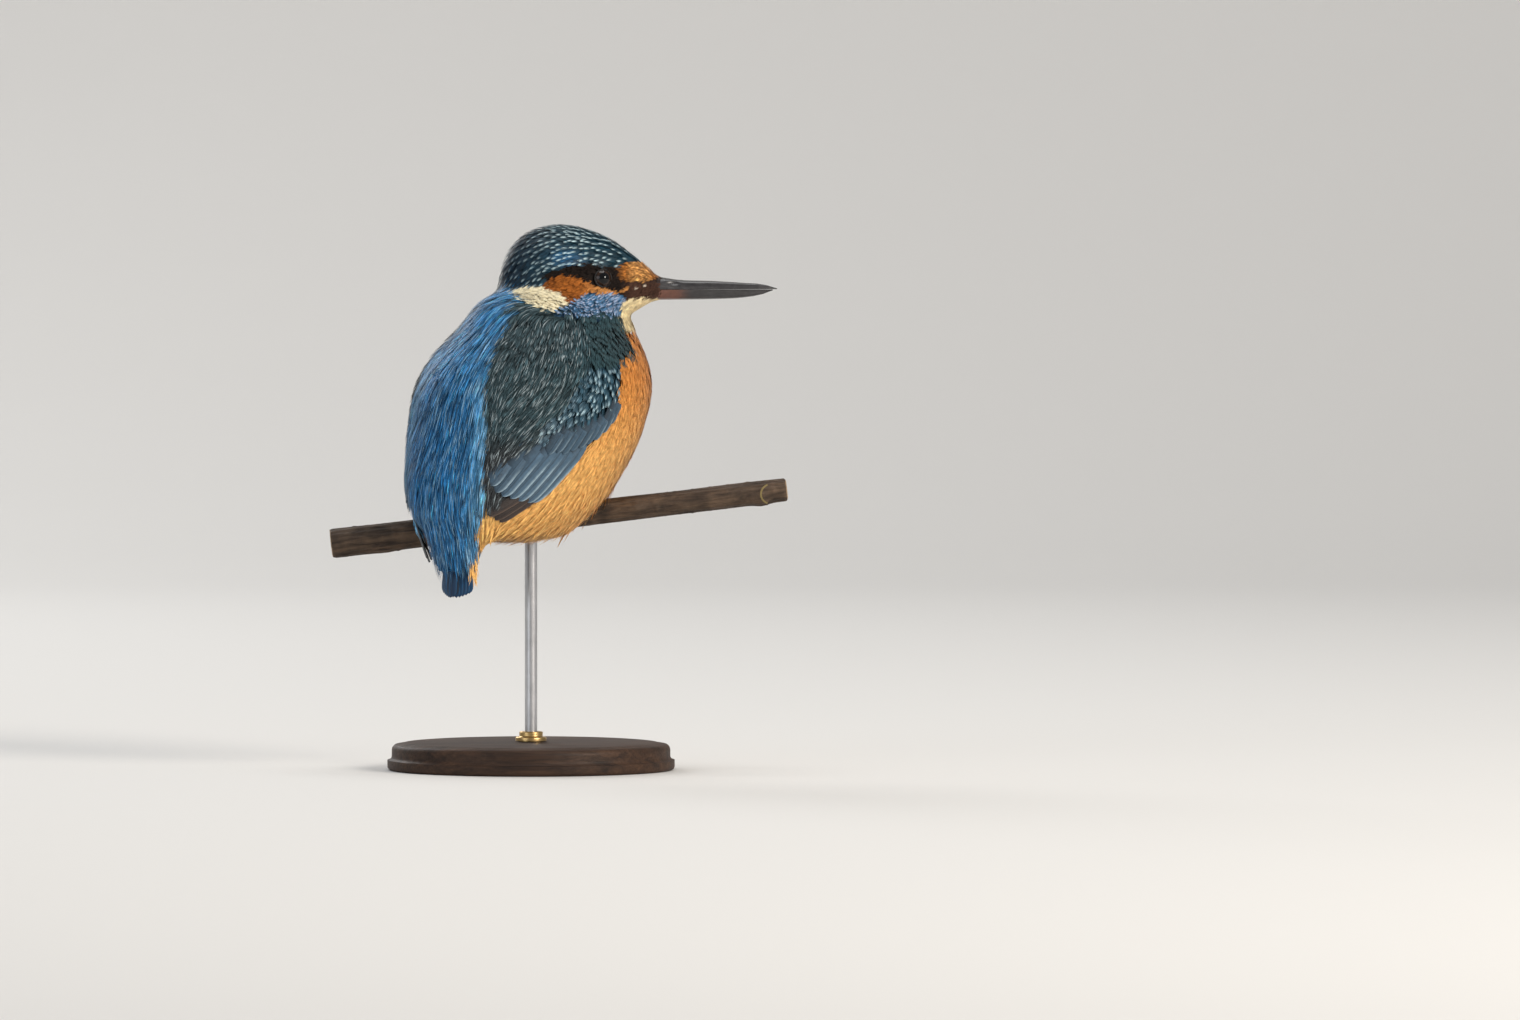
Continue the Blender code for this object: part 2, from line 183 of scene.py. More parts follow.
def unit(v):
    return v / np.maximum(np.linalg.norm(v, axis=-1, keepdims=True), 1e-9)


def curve(value, corners):
    return np.interp(value, *np.array(corners, float).T)


camera = {"lens": 400.0, "sensor": 36.0, "across": 0.4864, "aim": (0.0733, 0.0, 0.0832), "down": 2.0,
          "farthest": 50.0}


def placeCamera():
    bpy.ops.object.camera_add()
    made = bpy.context.object
    made.name = "viewCamera"
    made.data.lens = camera["lens"]
    made.data.sensor_width = camera["sensor"]
    made.data.clip_end = camera["farthest"]
    away = camera["across"] * camera["lens"] / camera["sensor"]
    down = math.radians(camera["down"])
    made.location = Vector(camera["aim"]) + away * Vector((0.0, -math.cos(down), math.sin(down)))
    made.rotation_euler = (math.pi / 2 - down, 0.0, 0.0)
    scene.camera = made
    scene.view_settings.view_transform = "Standard"


studio = {  # in metres
    "floor": (0.68, 0.67, 0.65), "rough": 0.9, "size": (14.0, 9.0), "shift": -3.0,
    "backdrop": {"from": 1.5, "radius": 0.7, "steps": 10, "wall": 4.0},
    "sky": (0.93, 0.95, 1.0), "ambient": 0.34,
    "lights": {  # place, aim, size, watts, colour
        "keyLight": ((1.5, -1.4, 0.95), (0, 0, 0.11), 0.9, 40.0, (1.0, 0.93, 0.84)),
        "fillLight": ((-1.5, -1.5, 0.7), (0, 0, 0.11), 1.4, 8.0, (0.86, 0.93, 1.0)),
        "topLight": ((0.0, 0.2, 1.7), (0, 0, 0.1), 1.2, 12.0, (1.0, 0.99, 0.97)),
        "backLight": ((-0.9, 1.5, 1.0), (0, 0, 0.12), 0.9, 12.0, (1.0, 1.0, 1.0)),
    },
}


def buildFloor():
    deselectAll()
    bpy.ops.mesh.primitive_plane_add(size=1.0)
    floor = bpy.context.object
    floor.name = "studioFloor"
    editAll(floor)
    bpy.ops.transform.resize(value=(*studio["size"], 1.0))
    bpy.ops.transform.translate(value=(0.0, studio["shift"], 0.0))
    bpy.ops.object.mode_set(mode="OBJECT")
    backdrop = studio["backdrop"]
    work = bmesh.new()
    work.from_mesh(floor.data)
    edges = [e for e in work.edges if all(v.co.y > backdrop["from"] - 0.1 for v in e.verts)]
    for step in range(backdrop["steps"] + 1):  # it curves up out of the floor, then stands straight
        turn = (step + 1) / backdrop["steps"] * math.pi / 2
        made = bmesh.ops.extrude_edge_only(work, edges=edges)["geom"]
        edges = [g for g in made if isinstance(g, bmesh.types.BMEdge)]
        for v in {v for e in edges for v in e.verts}:
            if step == backdrop["steps"]:
                v.co.z += backdrop["wall"]
            else:
                v.co.y = backdrop["from"] + backdrop["radius"] * math.sin(turn)
                v.co.z = backdrop["radius"] * (1 - math.cos(turn))
    bmesh.ops.recalc_face_normals(work, faces=work.faces)
    if any(face.normal.z < -0.5 for face in work.faces):
        bmesh.ops.reverse_faces(work, faces=work.faces)
    work.to_mesh(floor.data)
    work.free()
    floor.data.shade_smooth()
    paper = bpy.data.materials.new("studioPaper")
    paper.use_nodes = True
    shader = paper.node_tree.nodes["Principled BSDF"]
    shader.inputs["Base Color"].default_value = (*studio["floor"], 1.0)
    shader.inputs["Roughness"].default_value = studio["rough"]
    # from behind, the backdrop is clear
    tree = paper.node_tree
    facing = tree.nodes.new("ShaderNodeNewGeometry").outputs["Backfacing"]
    clear = tree.nodes.new("ShaderNodeBsdfTransparent").outputs[0]
    either = tree.nodes.new("ShaderNodeMixShader")
    for source, target in zip((facing, shader.outputs[0], clear), either.inputs):
        tree.links.new(source, target)
    tree.links.new(either.outputs[0], tree.nodes["Material Output"].inputs["Surface"])
    floor.data.materials.append(paper)


def buildLights():
    for name, (place, aim, size, watts, colour) in studio["lights"].items():
        bpy.ops.object.light_add(type="AREA", location=place)
        lamp = bpy.context.object
        lamp.name = name
        lamp.data.shape = "DISK"
        lamp.data.size = size
        lamp.data.energy = watts
        lamp.data.color = colour
        lamp.rotation_euler = (Vector(aim) - Vector(place)).to_track_quat("-Z", "Y").to_euler()
    world = scene.world or bpy.data.worlds.new("studioWorld")
    scene.world = world
    world.use_nodes = True
    sky = world.node_tree.nodes["Background"]
    sky.inputs["Color"].default_value = (*studio["sky"], 1.0)
    sky.inputs["Strength"].default_value = studio["ambient"]


placeCamera()
buildFloor()
buildLights()
print("camera and studio ready")

# X is the way the bill points, Z is height; the body stands turned by its yaw
body = {
    "yaw": math.radians(45),
    # where the body's middle lies, forward, at each height
    "middle": ((75.0, -9.0), (80.0, -12.2), (86.4, -10.5), (92.8, -8.8), (99.2, -6.1), (105.6, -3.4),
               (112.0, -1.4), (118.4, 0.4), (124.8, 2.0), (131.2, 3.4), (137.6, 5.4), (144.0, 7.6),
               (149.0, 7.4), (153.0, 8.4)),
}
head = {
    "side": 5.5,  # its middle plane, along Y
    "centre": (13.0, 5.5, 157.0),
    "line": ((-12.0, 152.8), (-8.0, 152.4), (0.0, 150.2), (8.0, 148.0), (18.0, 146.0), (26.0, 144.6),
             (34.0, 140.5)),  # the lower edge of its markings, (along X, height)
    "oval": (14.0, 26.5, 16.5, 1.15), "faceFrom": 30.0,
    "eye": (22.6, 157.3),
}
branch = {"height": 80.0, "slope": math.tan(math.radians(6.75))}

# outlines on the head, seen from its side: (along X, height)
patches = {
    "eyeStripe": [
        (3.0, 157.4), (7.0, 160.0), (12.0, 161.6), (19.0, 162.4), (25.0, 161.0), (31.0, 160.8), (33.0, 156.2),
        (38.0, 158.4), (46.0, 158.8), (46.0, 150.6), (40.0, 150.9), (36.0, 150.4), (31.0, 150.4),
        (28.0, 152.4), (22.7, 153.6), (18.0, 156.4),
    ],
    "lore": [
        (26.6, 160.8), (29.4, 162.2), (33.0, 163.0), (44.0, 161.6), (44.0, 158.2), (39.0, 157.4),
        (36.4, 156.5), (30.4, 156.0), (27.8, 157.6),
    ],
    "ear": [
        (4.6, 157.0), (9.5, 158.1), (15.2, 157.6), (19.8, 155.2), (23.0, 153.9), (28.0, 153.3), (31.2, 154.3),
        (31.2, 153.4), (27.0, 152.4), (22.7, 152.5), (18.1, 152.7), (14.6, 150.8), (12.4, 149.8),
        (10.0, 151.2), (8.0, 153.0), (4.0, 153.6),
    ],
    "malar": [
        (18.7, 152.8), (23.0, 152.6), (27.4, 152.4), (29.8, 150.8), (29.8, 148.4), (28.0, 145.4),
        (23.0, 144.8), (16.0, 145.8), (8.4, 147.0), (7.4, 148.2), (9.8, 149.4), (12.4, 149.9),
        (14.8, 151.0),
    ],
    "neckPatch": [
        (-7.5, 153.0), (-2.5, 154.5), (1.5, 154.8), (6.9, 154.0), (11.2, 151.2), (10.4, 149.0), (7.4, 147.4),
        (4.0, 148.2), (1.2, 149.4), (-3.0, 151.2),
    ],
    "throat": [
        (46.0, 150.9), (40.0, 150.9), (36.0, 150.4), (31.4, 150.4), (29.6, 149.6), (28.0, 146.6),
        (28.2, 144.0), (29.2, 141.8), (30.6, 140.6), (33.0, 140.2), (38.0, 141.0), (46.0, 148.0),
    ],
}
# outlines on the wing, seen square to its side: (along, height), the same on both wings
wingPatches = {
    "covert": [(27.0, 137.0), (29.0, 131.0), (30.4, 124.2), (29.0, 117.0), (27.0, 111.4), (20.0, 105.6),
               (4.0, 104.0), (3.0, 109.0), (10.0, 116.0), (17.0, 126.0), (21.0, 134.0)],
    "flight": [(30.0, 112.6), (23.0, 110.0), (18.0, 108.4), (11.0, 106.2), (5.0, 105.0), (0.0, 104.0),
               (-4.0, 101.5), (-8.0, 98.0), (-11.5, 94.5), (-11.8, 91.0), (-9.0, 88.6), (-8.0, 86.2),
               (-12.0, 84.0), (-16.0, 82.4), (-16.0, 79.6), (-12.0, 79.4), (0.5, 85.4), (7.0, 89.2),
               (12.0, 94.0), (15.4, 100.0), (20.0, 105.0), (26.4, 109.6)],
}
zoneEdges = {
    # the wing's front edge, (height, degrees round the body from the breast's middle)
    "wingFront": ((76, 128), (79, 136), (81.5, 127), (85.5, 116), (90, 106.5), (96, 101.5), (103, 97),
                  (109, 87.5), (117, 84), (124, 82.5), (131, 82), (133.5, 66), (134.5, 60), (138, 61),
                  (150, 63)),
    # the wing's lower edge, seen square to it: (along, height)
    "wingUnder": ((-16.0, 79.8), (-12.0, 80.2), (0.5, 86.2), (7.0, 90.2), (12.0, 95.0), (15.4, 101.0),
                  (20.0, 106.0), (26.4, 110.6), (28.0, 113.0)),
    # where the blue of the back ends, seen square to the wing: (height, along)
    "back": ((56, -18.6), (66, -18.2), (72, -16.2), (79, -15.8), (84, -16.4), (87, -14.2), (93, -14.9),
             (98, -14.6), (109, -14.1), (125, -14.2), (127.4, -13.4), (133, -12.2), (139.4, -9.9),
             (146.3, -7.6), (151.4, -5.2), (154, -3.5)),
    "backFrom": 84.0, "backLeft": (84.0, 104.0, 5.5),  # the blue is wider on the left above these heights
    "shoulder": (62.0, 104.0, 131.5, 0.06),  # from, to, the height it starts at and how fast that falls
    "wingTips": {"from": 60.0, "skinAbove": 84.0, "tuftsAbove": 132.0, "below": 134.0, "flightBelow": 106.0,
                 "near": 0.9},
    "wobble": 0.22,  # tufts stray over an edge by this much
    "farDrop": 3.0,  # the pale patches reach lower than the head's line
}
palette = {
    "crown": (0.004, 0.032, 0.052),
    "eyeStripe": (0.013, 0.008, 0.006),
    "lore": (0.46, 0.16, 0.028),
    "ear": (0.36, 0.11, 0.018),
    "neckPatch": (0.82, 0.74, 0.52),
    "malar": (0.055, 0.150, 0.285),
    "throat": (0.84, 0.70, 0.42),
    "under": (0.60, 0.23, 0.045),
    "back": (0.014, 0.125, 0.30),
    "shoulder": (0.024, 0.060, 0.072),
    "scapular": (0.034, 0.060, 0.070),
    "covert": (0.024, 0.070, 0.105),
    "flight": (0.022, 0.032, 0.042),
    "primary": (0.045, 0.034, 0.030),
}
# zone, second colour, its strength, and the ramps that bring it in, along X or by height
tints = (
    ("under", (0.80, 0.45, 0.14), 1.0, (("height", 130.0, 92.0),)),
    ("back", (0.035, 0.21, 0.44), 0.6, (("height", 116.0, 134.0),)),
    ("back", (0.007, 0.075, 0.19), 0.6, (("height", 88.0, 66.0),)),
    ("scapular", (0.022, 0.050, 0.061), 0.9, (("along", 4.0, 17.0), ("height", 122.0, 134.0))),
    ("scapular", (0.046, 0.043, 0.044), 0.75, (("height", 112.0, 100.0),)),
    ("crown", (0.0025, 0.018, 0.036), 1.0, (("along", 10.0, -8.0),)),
    ("shoulder", (0.012, 0.040, 0.052), 0.6, (("along", 20.0, 6.0),)),
    ("lore", (0.72, 0.36, 0.11), 0.8, (("along", 29.5, 33.0), ("along", 40.0, 36.5))),
    ("lore", (0.10, 0.045, 0.018), 0.7, (("along", 30.5, 27.5),)),
    ("eyeStripe", (0.075, 0.036, 0.024), 1.0, (("along", 28.5, 32.0), ("height", 158.0, 155.0))),
    ("ear", (0.66, 0.30, 0.09), 0.8, (("along", 15.0, 22.0),)),
    ("ear", (0.16, 0.042, 0.007), 0.5, (("height", 154.0, 151.0),)),
    ("ear", (0.15, 0.040, 0.007), 0.7, (("along", 11.0, 5.0),)),
)
glints = {
    # a painted highlight on the back's feathers beside the wing: colour, strength, width, and the heights
    # between which it fades
    "backEdge": ((0.11, 0.33, 0.54), 0.75, 3.6, (138.0, 118.0)),
    # the bright spot over the eye: colour, strength, place and size
    "crown": ((0.012, 0.11, 0.26), 0.8, (11.0, 164.0), (4.5, 2.2)),
    # two flecks by the gape: colour, places, size
    "gape": ((0.62, 0.52, 0.42), ((33.9, 154.3), (36.6, 155.0)), 0.55),
}


def bodyFrame(points):
    c, s = math.cos(body["yaw"]), math.sin(body["yaw"])
    x, y, z = points[:, 0], points[:, 1], points[:, 2]
    return x * c + y * s, -x * s + y * c, z


def fromBody(forward, left, height):
    c, s = math.cos(body["yaw"]), math.sin(body["yaw"])
    forward, left, height = (np.asarray(value, float) for value in (forward, left, height))
    return np.stack([forward * c - left * s, forward * s + left * c, height], axis=-1)


def wingView(points):
    forward, left, height = bodyFrame(points)
    return forward * math.cos(body["yaw"]) + np.abs(left) * math.sin(body["yaw"]), height


def chartOf(points):
    # degrees round the body from the breast's middle, the distance left, and the height
    forward, left, height = bodyFrame(points)
    return np.degrees(np.arctan2(np.abs(left), forward - curve(height, body["middle"]))), left, height


def aboveBranch(points):
    return points[:, 2] - branch["height"] - branch["slope"] * points[:, 0]


def insideOutline(outline, x, z):
    within = np.zeros(len(x), dtype=bool)
    for (ax, az), (bx, bz) in zip(outline, outline[1:] + outline[:1]):
        if az != bz:
            crosses = (az > z) != (bz > z)
            within ^= crosses & (x < (bx - ax) * (z - az) / (bz - az) + ax)
    return within


def onHead(points):
    x, y, z = points[:, 0], points[:, 1], points[:, 2]
    middle, long, wide, limit = head["oval"]
    near = ((x - middle) / long) ** 2 + ((y - head["side"]) / wide) ** 2 < limit
    return (z > curve(x, head["line"])) & (near | (x > head["faceFrom"]))


def nearWing(points, chosen, limit):
    # which of the chosen points lie close to the solid wings
    index = np.flatnonzero(chosen)
    reach = np.array([wingSolids.find_nearest(p)[3] for p in points[index].tolist()])
    return index[reach < limit]


def zonesOf(points, rng=None):
    at = points.copy()
    if rng is not None:
        at += rng.normal(0.0, zoneEdges["wobble"], at.shape)
    around, left, z = chartOf(at)
    x = at[:, 0]
    across = wingView(at)[0]
    zones = np.full(len(at), "under", dtype="<U12")
    wing = around > curve(z, zoneEdges["wingFront"])
    zones[wing & (z > curve(across, zoneEdges["wingUnder"]))] = "scapular"
    for name, outline in wingPatches.items():
        zones[wing & insideOutline(outline, across, z)] = name
    first, last, start, fall = zoneEdges["shoulder"]
    zones[(around > first) & (z > start - fall * (around - first)) & (around < last)] = "shoulder"
    low, high, wider = zoneEdges["backLeft"]
    rear = curve(z, zoneEdges["back"]) + np.where(left > 0, wider * smoothstep(low, high, z), 0.0)
    zones[(across < rear) & (around > zoneEdges["backFrom"])] = "back"
    tips = zoneEdges["wingTips"]
    lowest = tips["skinAbove"] if rng is None else tips["tuftsAbove"]
    beside = (zones == "under") & (around > tips["from"]) & (z > lowest) & (z < tips["below"])
    beside = nearWing(at, beside, tips["near"])
    zones[beside] = np.where(z[beside] < tips["flightBelow"], "flight", "covert")
    upper = onHead(at)
    zones[upper] = "crown"
    lowered = onHead(at + np.array([0.0, 0.0, zoneEdges["farDrop"]])) | (at[:, 1] < head["side"])
    for name, outline in patches.items():
        limit = lowered if name in ("malar", "throat", "neckPatch") else upper
        zones[insideOutline(outline, x, z) & limit] = name
    return zones


def mixInto(colours, chosen, colour, amount):
    colours[chosen] = colours[chosen] * (1 - amount[:, None]) + np.array(colour) * amount[:, None]


def markings(points, zones):
    colours = np.array([palette[zone] for zone in zones])
    places = {"along": points[:, 0], "height": points[:, 2]}
    back = zones == "back"
    # a painted highlight along the back's edge beside the wing
    colour, strength, wide, fade = glints["backEdge"]
    height = places["height"][back]
    paintedHighlight = bell(wingView(points[back])[0] - curve(height, zoneEdges["back"]), wide) * strength
    mixInto(colours, back, colour, paintedHighlight * smoothstep(*fade, height))
    for zone, colour, strength, ramps in tints:
        chosen = zones == zone
        amount = np.full(int(chosen.sum()), strength)
        for axis, low, high in ramps:
            amount = amount * smoothstep(low, high, places[axis][chosen])
        mixInto(colours, chosen, colour, amount)
    crown = zones == "crown"
    colour, strength, at, size = glints["crown"]
    x, z = places["along"][crown] - at[0], places["height"][crown] - at[1]
    mixInto(colours, crown, colour, np.exp(-((x / size[0]) ** 2 + (z / size[1]) ** 2)) * strength)
    gape = zones == "eyeStripe"
    colour, spots, size = glints["gape"]
    for at in spots:
        near = np.hypot(places["along"][gape] - at[0], places["height"][gape] - at[1]) < size
        mixInto(colours, gape, colour, near.astype(float))
    return colours


coatForm = {
    "nodes": ["head", "neck", "trunk", "wing_left", "wing_right", "eye_left", "eye_right", "bill_upper",
              "bill_lower"],
    "swell": 0.28, "voxel": 0.85, "soften": 6, "billCut": 44.0,
    "depth": {"body": 1.9, "head": 0.95, "face": 0.45}, "face": (18.0, 34.0),
    # where the surface is smoothed further, how often and how much
    "rim": {"along": (11.0, 25.0), "over": (-10.0, 5.0), "half": 12.0, "times": 60},
    "fold": {"along": (-10.0, 29.0), "from": 141.0, "rise": 0.15, "top": ((-10, 157), (5, 155), (29, 150)),
             "middle": 4.0, "clear": 6.0, "times": 22},
    "strength": 0.8,
}
slot = {  # the hollow over the branch grows no feathers
    "radii": (8.0, 8.8), "half": 21.0, "core": 6.6, "farSide": (-8.6, 1.6, 18.0),
}
hollow = {"behind": -24.0, "left": 7.5, "heights": (64.0, 92.0)}  # between the left wing's point and the rump


def outerShape():
    shape = copyOfNodes("coatShape", coatForm["nodes"])
    modify(shape, "swell", "DISPLACE", strength=coatForm["swell"] * mm, mid_level=0.0)
    remeshed(shape, coatForm["voxel"], coatForm["soften"])
    co = verticesOf(shape)
    x, y, z = co.T
    above = aboveBranch(co)
    rim, fold = coatForm["rim"], coatForm["fold"]
    overBranch = (x > rim["along"][0]) & (x < rim["along"][1]) & (abs(y) < rim["half"])
    overBranch &= (above < rim["over"][1]) & (above > rim["over"][0])
    underCheek = (x > fold["along"][0]) & (x < fold["along"][1]) & (z < curve(x, fold["top"]))
    underCheek &= (z > fold["from"] + fold["rise"] * (20.0 - x)) & (abs(y - fold["middle"]) > fold["clear"])
    for name, chosen in (("rim", overBranch), ("fold", underCheek)):
        group = shape.vertex_groups.new(name=name)
        group.add(np.flatnonzero(chosen).tolist(), 1.0, "REPLACE")
        modify(shape, name, "SMOOTH", iterations=coatForm[name]["times"], factor=coatForm["strength"],
               vertex_group=name)
    applyAll(shape)
    shape.vertex_groups.clear()
    editAll(shape)
    bpy.ops.mesh.bisect(plane_co=(coatForm["billCut"] * mm, 0, 0), plane_no=(1, 0, 0), clear_outer=True,
                        use_fill=True, threshold=0.000001)
    bpy.ops.object.mode_set(mode="OBJECT")
    return shape


def surfaceOf(thing):
    points = verticesOf(thing)
    thing.data.calc_loop_triangles()
    triangles = np.empty(len(thing.data.loop_triangles) * 3, np.int32)
    thing.data.loop_triangles.foreach_get("vertices", triangles)
    triangles = triangles.reshape(-1, 3)
    a, b, c = (points[triangles[:, k]] for k in range(3))
    return {"tree": BVHTree.FromPolygons(points.tolist(), triangles.tolist()), "points": points,
            "triangles": triangles, "normals": unit(normalsOf(thing)[triangles].sum(axis=1)),
            "areas": np.linalg.norm(np.cross(b - a, c - a), axis=1) / 2}


def onSurface(points):
    # the nearest places on the coat's outer surface, and which way it faces there
    nearest = outer["tree"].find_nearest
    found = [nearest(point) for point in points.tolist()]
    return np.array([f[0] for f in found]), outer["normals"][[f[2] for f in found]]


def inSlot(points):
    x, y, z = abs(points[:, 0]), points[:, 1], aboveBranch(points)
    reach = np.hypot(y, np.maximum(z, 0.0))
    tunnel = (reach < np.where(z < 0, *slot["radii"])) & (x < slot["half"])
    right, low, half = slot["farSide"]
    return tunnel | (reach < slot["core"]) | ((y > right) & (z < low) & (x < half))


def behindWing(points):
    forward, left, height = bodyFrame(points)
    low, high = hollow["heights"]
    return (forward < hollow["behind"]) & (left > hollow["left"]) & (height < high) & (height > low)


def depthAt(points):
    upper, deep = onHead(points), coatForm["depth"]
    face = smoothstep(*coatForm["face"], points[:, 0]) * upper
    return np.where(upper, deep["head"], deep["body"]) * (1 - face) + deep["face"] * face


def fromEye(points):
    x, z = points[:, 0] - head["eye"][0], points[:, 2] - head["eye"][1]
    return np.hypot(x, z), x, z


wings = copyOfNodes("wings", ["wing_left", "wing_right"])
wingSolids = surfaceOf(wings)["tree"]
bpy.data.objects.remove(wings)
coatShape = outerShape()
outer = surfaceOf(coatShape)
print("outer surface:", len(outer["triangles"]), "triangles")

skinStyle = {
    # thin edges below this height are only cut to a share of their depth
    "thinBelow": 100.0, "probe": (0.05, 8.0), "share": 0.4,
    # the skin is painted darker than its feathers as shade between them, and darker still in the hollow over
    # the branch as painted shadow; on the underparts it is painted lighter
    "tones": {"under": 1.2, "neckPatch": 1.0, "elsewhereShaded": 0.7, "slot": 0.35},
    "wingPoint": {"below": 86.0, "left": 4.0, "near": 1.8},
}


def buildSkin():
    skin = bpy.data.objects.new("skin", coatShape.data.copy())
    scene.collection.objects.link(skin)
    points, normals = verticesOf(skin), normalsOf(skin)
    depth = depthAt(points)
    start, far = skinStyle["probe"]
    for index in np.flatnonzero(points[:, 2] < skinStyle["thinBelow"]):
        at, inward = Vector(points[index]), Vector(-normals[index])
        through = outer["tree"].ray_cast(at + inward * start, inward, far)[3]
        if through is not None:
            depth[index] = min(depth[index], skinStyle["share"] * through)
    moveVertices(skin, points - normals * depth[:, None])
    zones = zonesOf(points)
    point = skinStyle["wingPoint"]
    leftLow = (points[:, 2] < point["below"]) & (bodyFrame(points)[1] > point["left"])
    zones[nearWing(points, leftLow, point["near"])] = "primary"
    zones[behindWing(points) & (zones == "under")] = "primary"
    # painted shade on the skin between the feathers, and painted shadow in the hollow over the branch
    tones = skinStyle["tones"]
    tone = np.array([tones.get(zone, tones["elsewhereShaded"]) for zone in zones])
    tone = tone * np.where(inSlot(points), tones["slot"], 1.0)
    paintPlumage(skin.data, markings(points, zones) * tone[:, None])
    skin.data.shade_smooth()
    return skin


skin = buildSkin()

flow = {  # how the feathers lie
    "tail": (-31.0, 0.0, 58.0), "inward": 0.55,  # on the body they point at the tail
    "sweep": (-0.82, -0.25, -0.85),  # on the wing, back and down
    "wingAround": ((82.0, 96.0), (152.0, 138.0)), "wingBelow": (136.0, 118.0), "wingMiddle": -2.0,
    # on the head they point away from the bill, then down the nape and down the throat
    "crownFall": -0.38, "napeFall": (12.0, -8.0), "chin": ((152.0, 145.0), (24.0, 33.0), (0.5, 0.0, -0.8)),
    "nape": ((145.0, 148.5), (14.0, 10.0)), "headFrom": (144.0, 150.0),
    "roundEye": (7.0, 3.4),
}


def lieOf(points, normals):
    upper = onHead(points)
    x = points[:, 0]
    forward, left, height = bodyFrame(points)
    aim = flow["tail"]
    lie = unit(fromBody(aim[0] - forward, (aim[1] - left) * flow["inward"], aim[2] - height))
    around = np.degrees(np.arctan2(np.abs(left), forward - flow["wingMiddle"]))
    rise, fall = flow["wingAround"]
    wing = smoothstep(*rise, around) * smoothstep(*fall, around) * smoothstep(*flow["wingBelow"], height)
    back, inward, down = flow["sweep"]
    sweep = fromBody(back * np.ones(len(x)), np.sign(left) * inward, down * np.ones(len(x)))
    lie = unit(lie * (1 - wing[:, None]) + unit(sweep) * wing[:, None])
    rear = smoothstep(*flow["napeFall"], x)
    back = np.stack([-np.ones(len(x)), np.zeros(len(x)), flow["crownFall"] - 1.0 * rear], axis=1)
    heights, lengths, turn = flow["chin"]
    chin = smoothstep(*heights, height)[:, None] * smoothstep(*lengths, x)[:, None]
    back = unit(back + chin * np.array(turn))
    nape = smoothstep(*flow["nape"][0], height) * smoothstep(*flow["nape"][1], x)
    soft = np.maximum(smoothstep(*flow["headFrom"], height) * upper, nape)[:, None]
    lie = lie * (1 - soft) + back * soft
    away, dx, dz = fromEye(points)
    ring = np.stack([dx, np.zeros(len(x)), dz], axis=1) / np.maximum(away, 0.01)[:, None]
    toward = np.minimum(0.0, (lie * ring).sum(axis=1)) * smoothstep(*flow["roundEye"], away) * upper
    lie = lie - ring * toward[:, None]
    return unit(lie - normals * (lie * normals).sum(axis=1)[:, None])


scatter = {"tries": 7, "closest": 0.92, "crownRadius": 17.0, "crownReach": 0.985, "crownSink": 2.0,
           "crownJitter": 0.008}
neighbours = list(product((-1, 0, 1), repeat=3))


def scatterRoots(spacing, wanted, seed):
    rng = np.random.default_rng(seed)
    triangles, points = outer["triangles"], outer["points"]
    chosen = np.flatnonzero(wanted(points[triangles].mean(axis=1)))
    areas = outer["areas"][chosen]
    count = int(areas.sum() / spacing**2 * scatter["tries"])
    face = triangles[rng.choice(chosen, count, p=areas / areas.sum())]
    a, b = rng.random(count), rng.random(count)
    fold = a + b > 1
    a[fold], b[fold] = 1 - a[fold], 1 - b[fold]
    corners = (points[face[:, k]] for k in range(3))
    spots = sum(corner * share[:, None] for corner, share in zip(corners, (1 - a - b, a, b)))
    kept, cells = [], {}
    limit = (spacing * scatter["closest"]) ** 2
    keys = map(tuple, np.floor(spots / spacing).astype(int).tolist())
    for i, (key, spot) in enumerate(zip(keys, spots.tolist())):
        x, y, z = spot
        for dx, dy, dz in neighbours:
            near = cells.get((key[0] + dx, key[1] + dy, key[2] + dz), ())
            if any((x - o[0]) ** 2 + (y - o[1]) ** 2 + (z - o[2]) ** 2 < limit for o in near):
                break
        else:
            kept.append(i)
            cells.setdefault(key, []).append(spot)
    return spots[kept], rng


def ringRoots(spacing, wanted, seed):
    # feathers of the crown stand in rows, in rings round the bill
    rng = np.random.default_rng(seed)
    centre = np.array(head["centre"]) - (0.0, 0.0, scatter["crownSink"])
    radius = scatter["crownRadius"]
    rays = []
    for ring in range(1, int(math.pi * scatter["crownReach"] / (spacing / radius))):
        opening = ring * (spacing / radius)
        around = max(6, round(2 * math.pi * math.sin(opening) * radius / spacing))
        roll = (np.arange(around) + 0.5 * (ring % 2)) / around * 2 * math.pi
        rays.append(np.stack([np.full(around, math.cos(opening)), math.sin(opening) * np.cos(roll),
                              math.sin(opening) * np.sin(roll)], axis=1))
    rays = np.concatenate(rays)
    rays = unit(rays + rng.normal(0, scatter["crownJitter"], rays.shape))
    hits = [outer["tree"].ray_cast(Vector(centre + ray * 60.0), Vector(-ray), 90.0)[0] for ray in rays]
    kept = np.array([tuple(hit) for hit in hits if hit is not None])
    return kept[wanted(kept)], rng


def walkAlong(roots, lengths, rng, style):
    # each feather's middle line follows the surface and the lie; a loose one keeps its way
    places, normals = onSurface(roots)
    lie = lieOf(places, normals)
    turn = rng.normal(0.0, style["stray"], len(roots))[:, None]
    lie = unit(lie * np.cos(turn) + np.cross(normals, lie) * np.sin(turn))
    path, ups, ways = [places], [normals], [lie]
    for step in range(style["steps"]):
        ahead = places + lie * (lengths / style["steps"])[:, None]
        before, held = places, normals
        places, normals = onSurface(ahead)
        loose = (ahead[:, 2] < style["looseBelow"]) & (before[:, 0] < style["looseBehind"])
        loose |= step >= style["free"]
        places[loose], normals[loose] = ahead[loose], held[loose]
        carried = unit(lie - normals * (lie * normals).sum(axis=1)[:, None])
        local = unit(lieOf(places, normals) + carried * style["steady"])
        turned = unit(carried * (1 - style["follow"]) + local * style["follow"])
        lie = np.where(loose[:, None], lie, turned)
        path.append(places)
        ups.append(normals)
        ways.append(lie)
    return np.stack(path, 1), np.stack(ups, 1), np.stack(ways, 1)


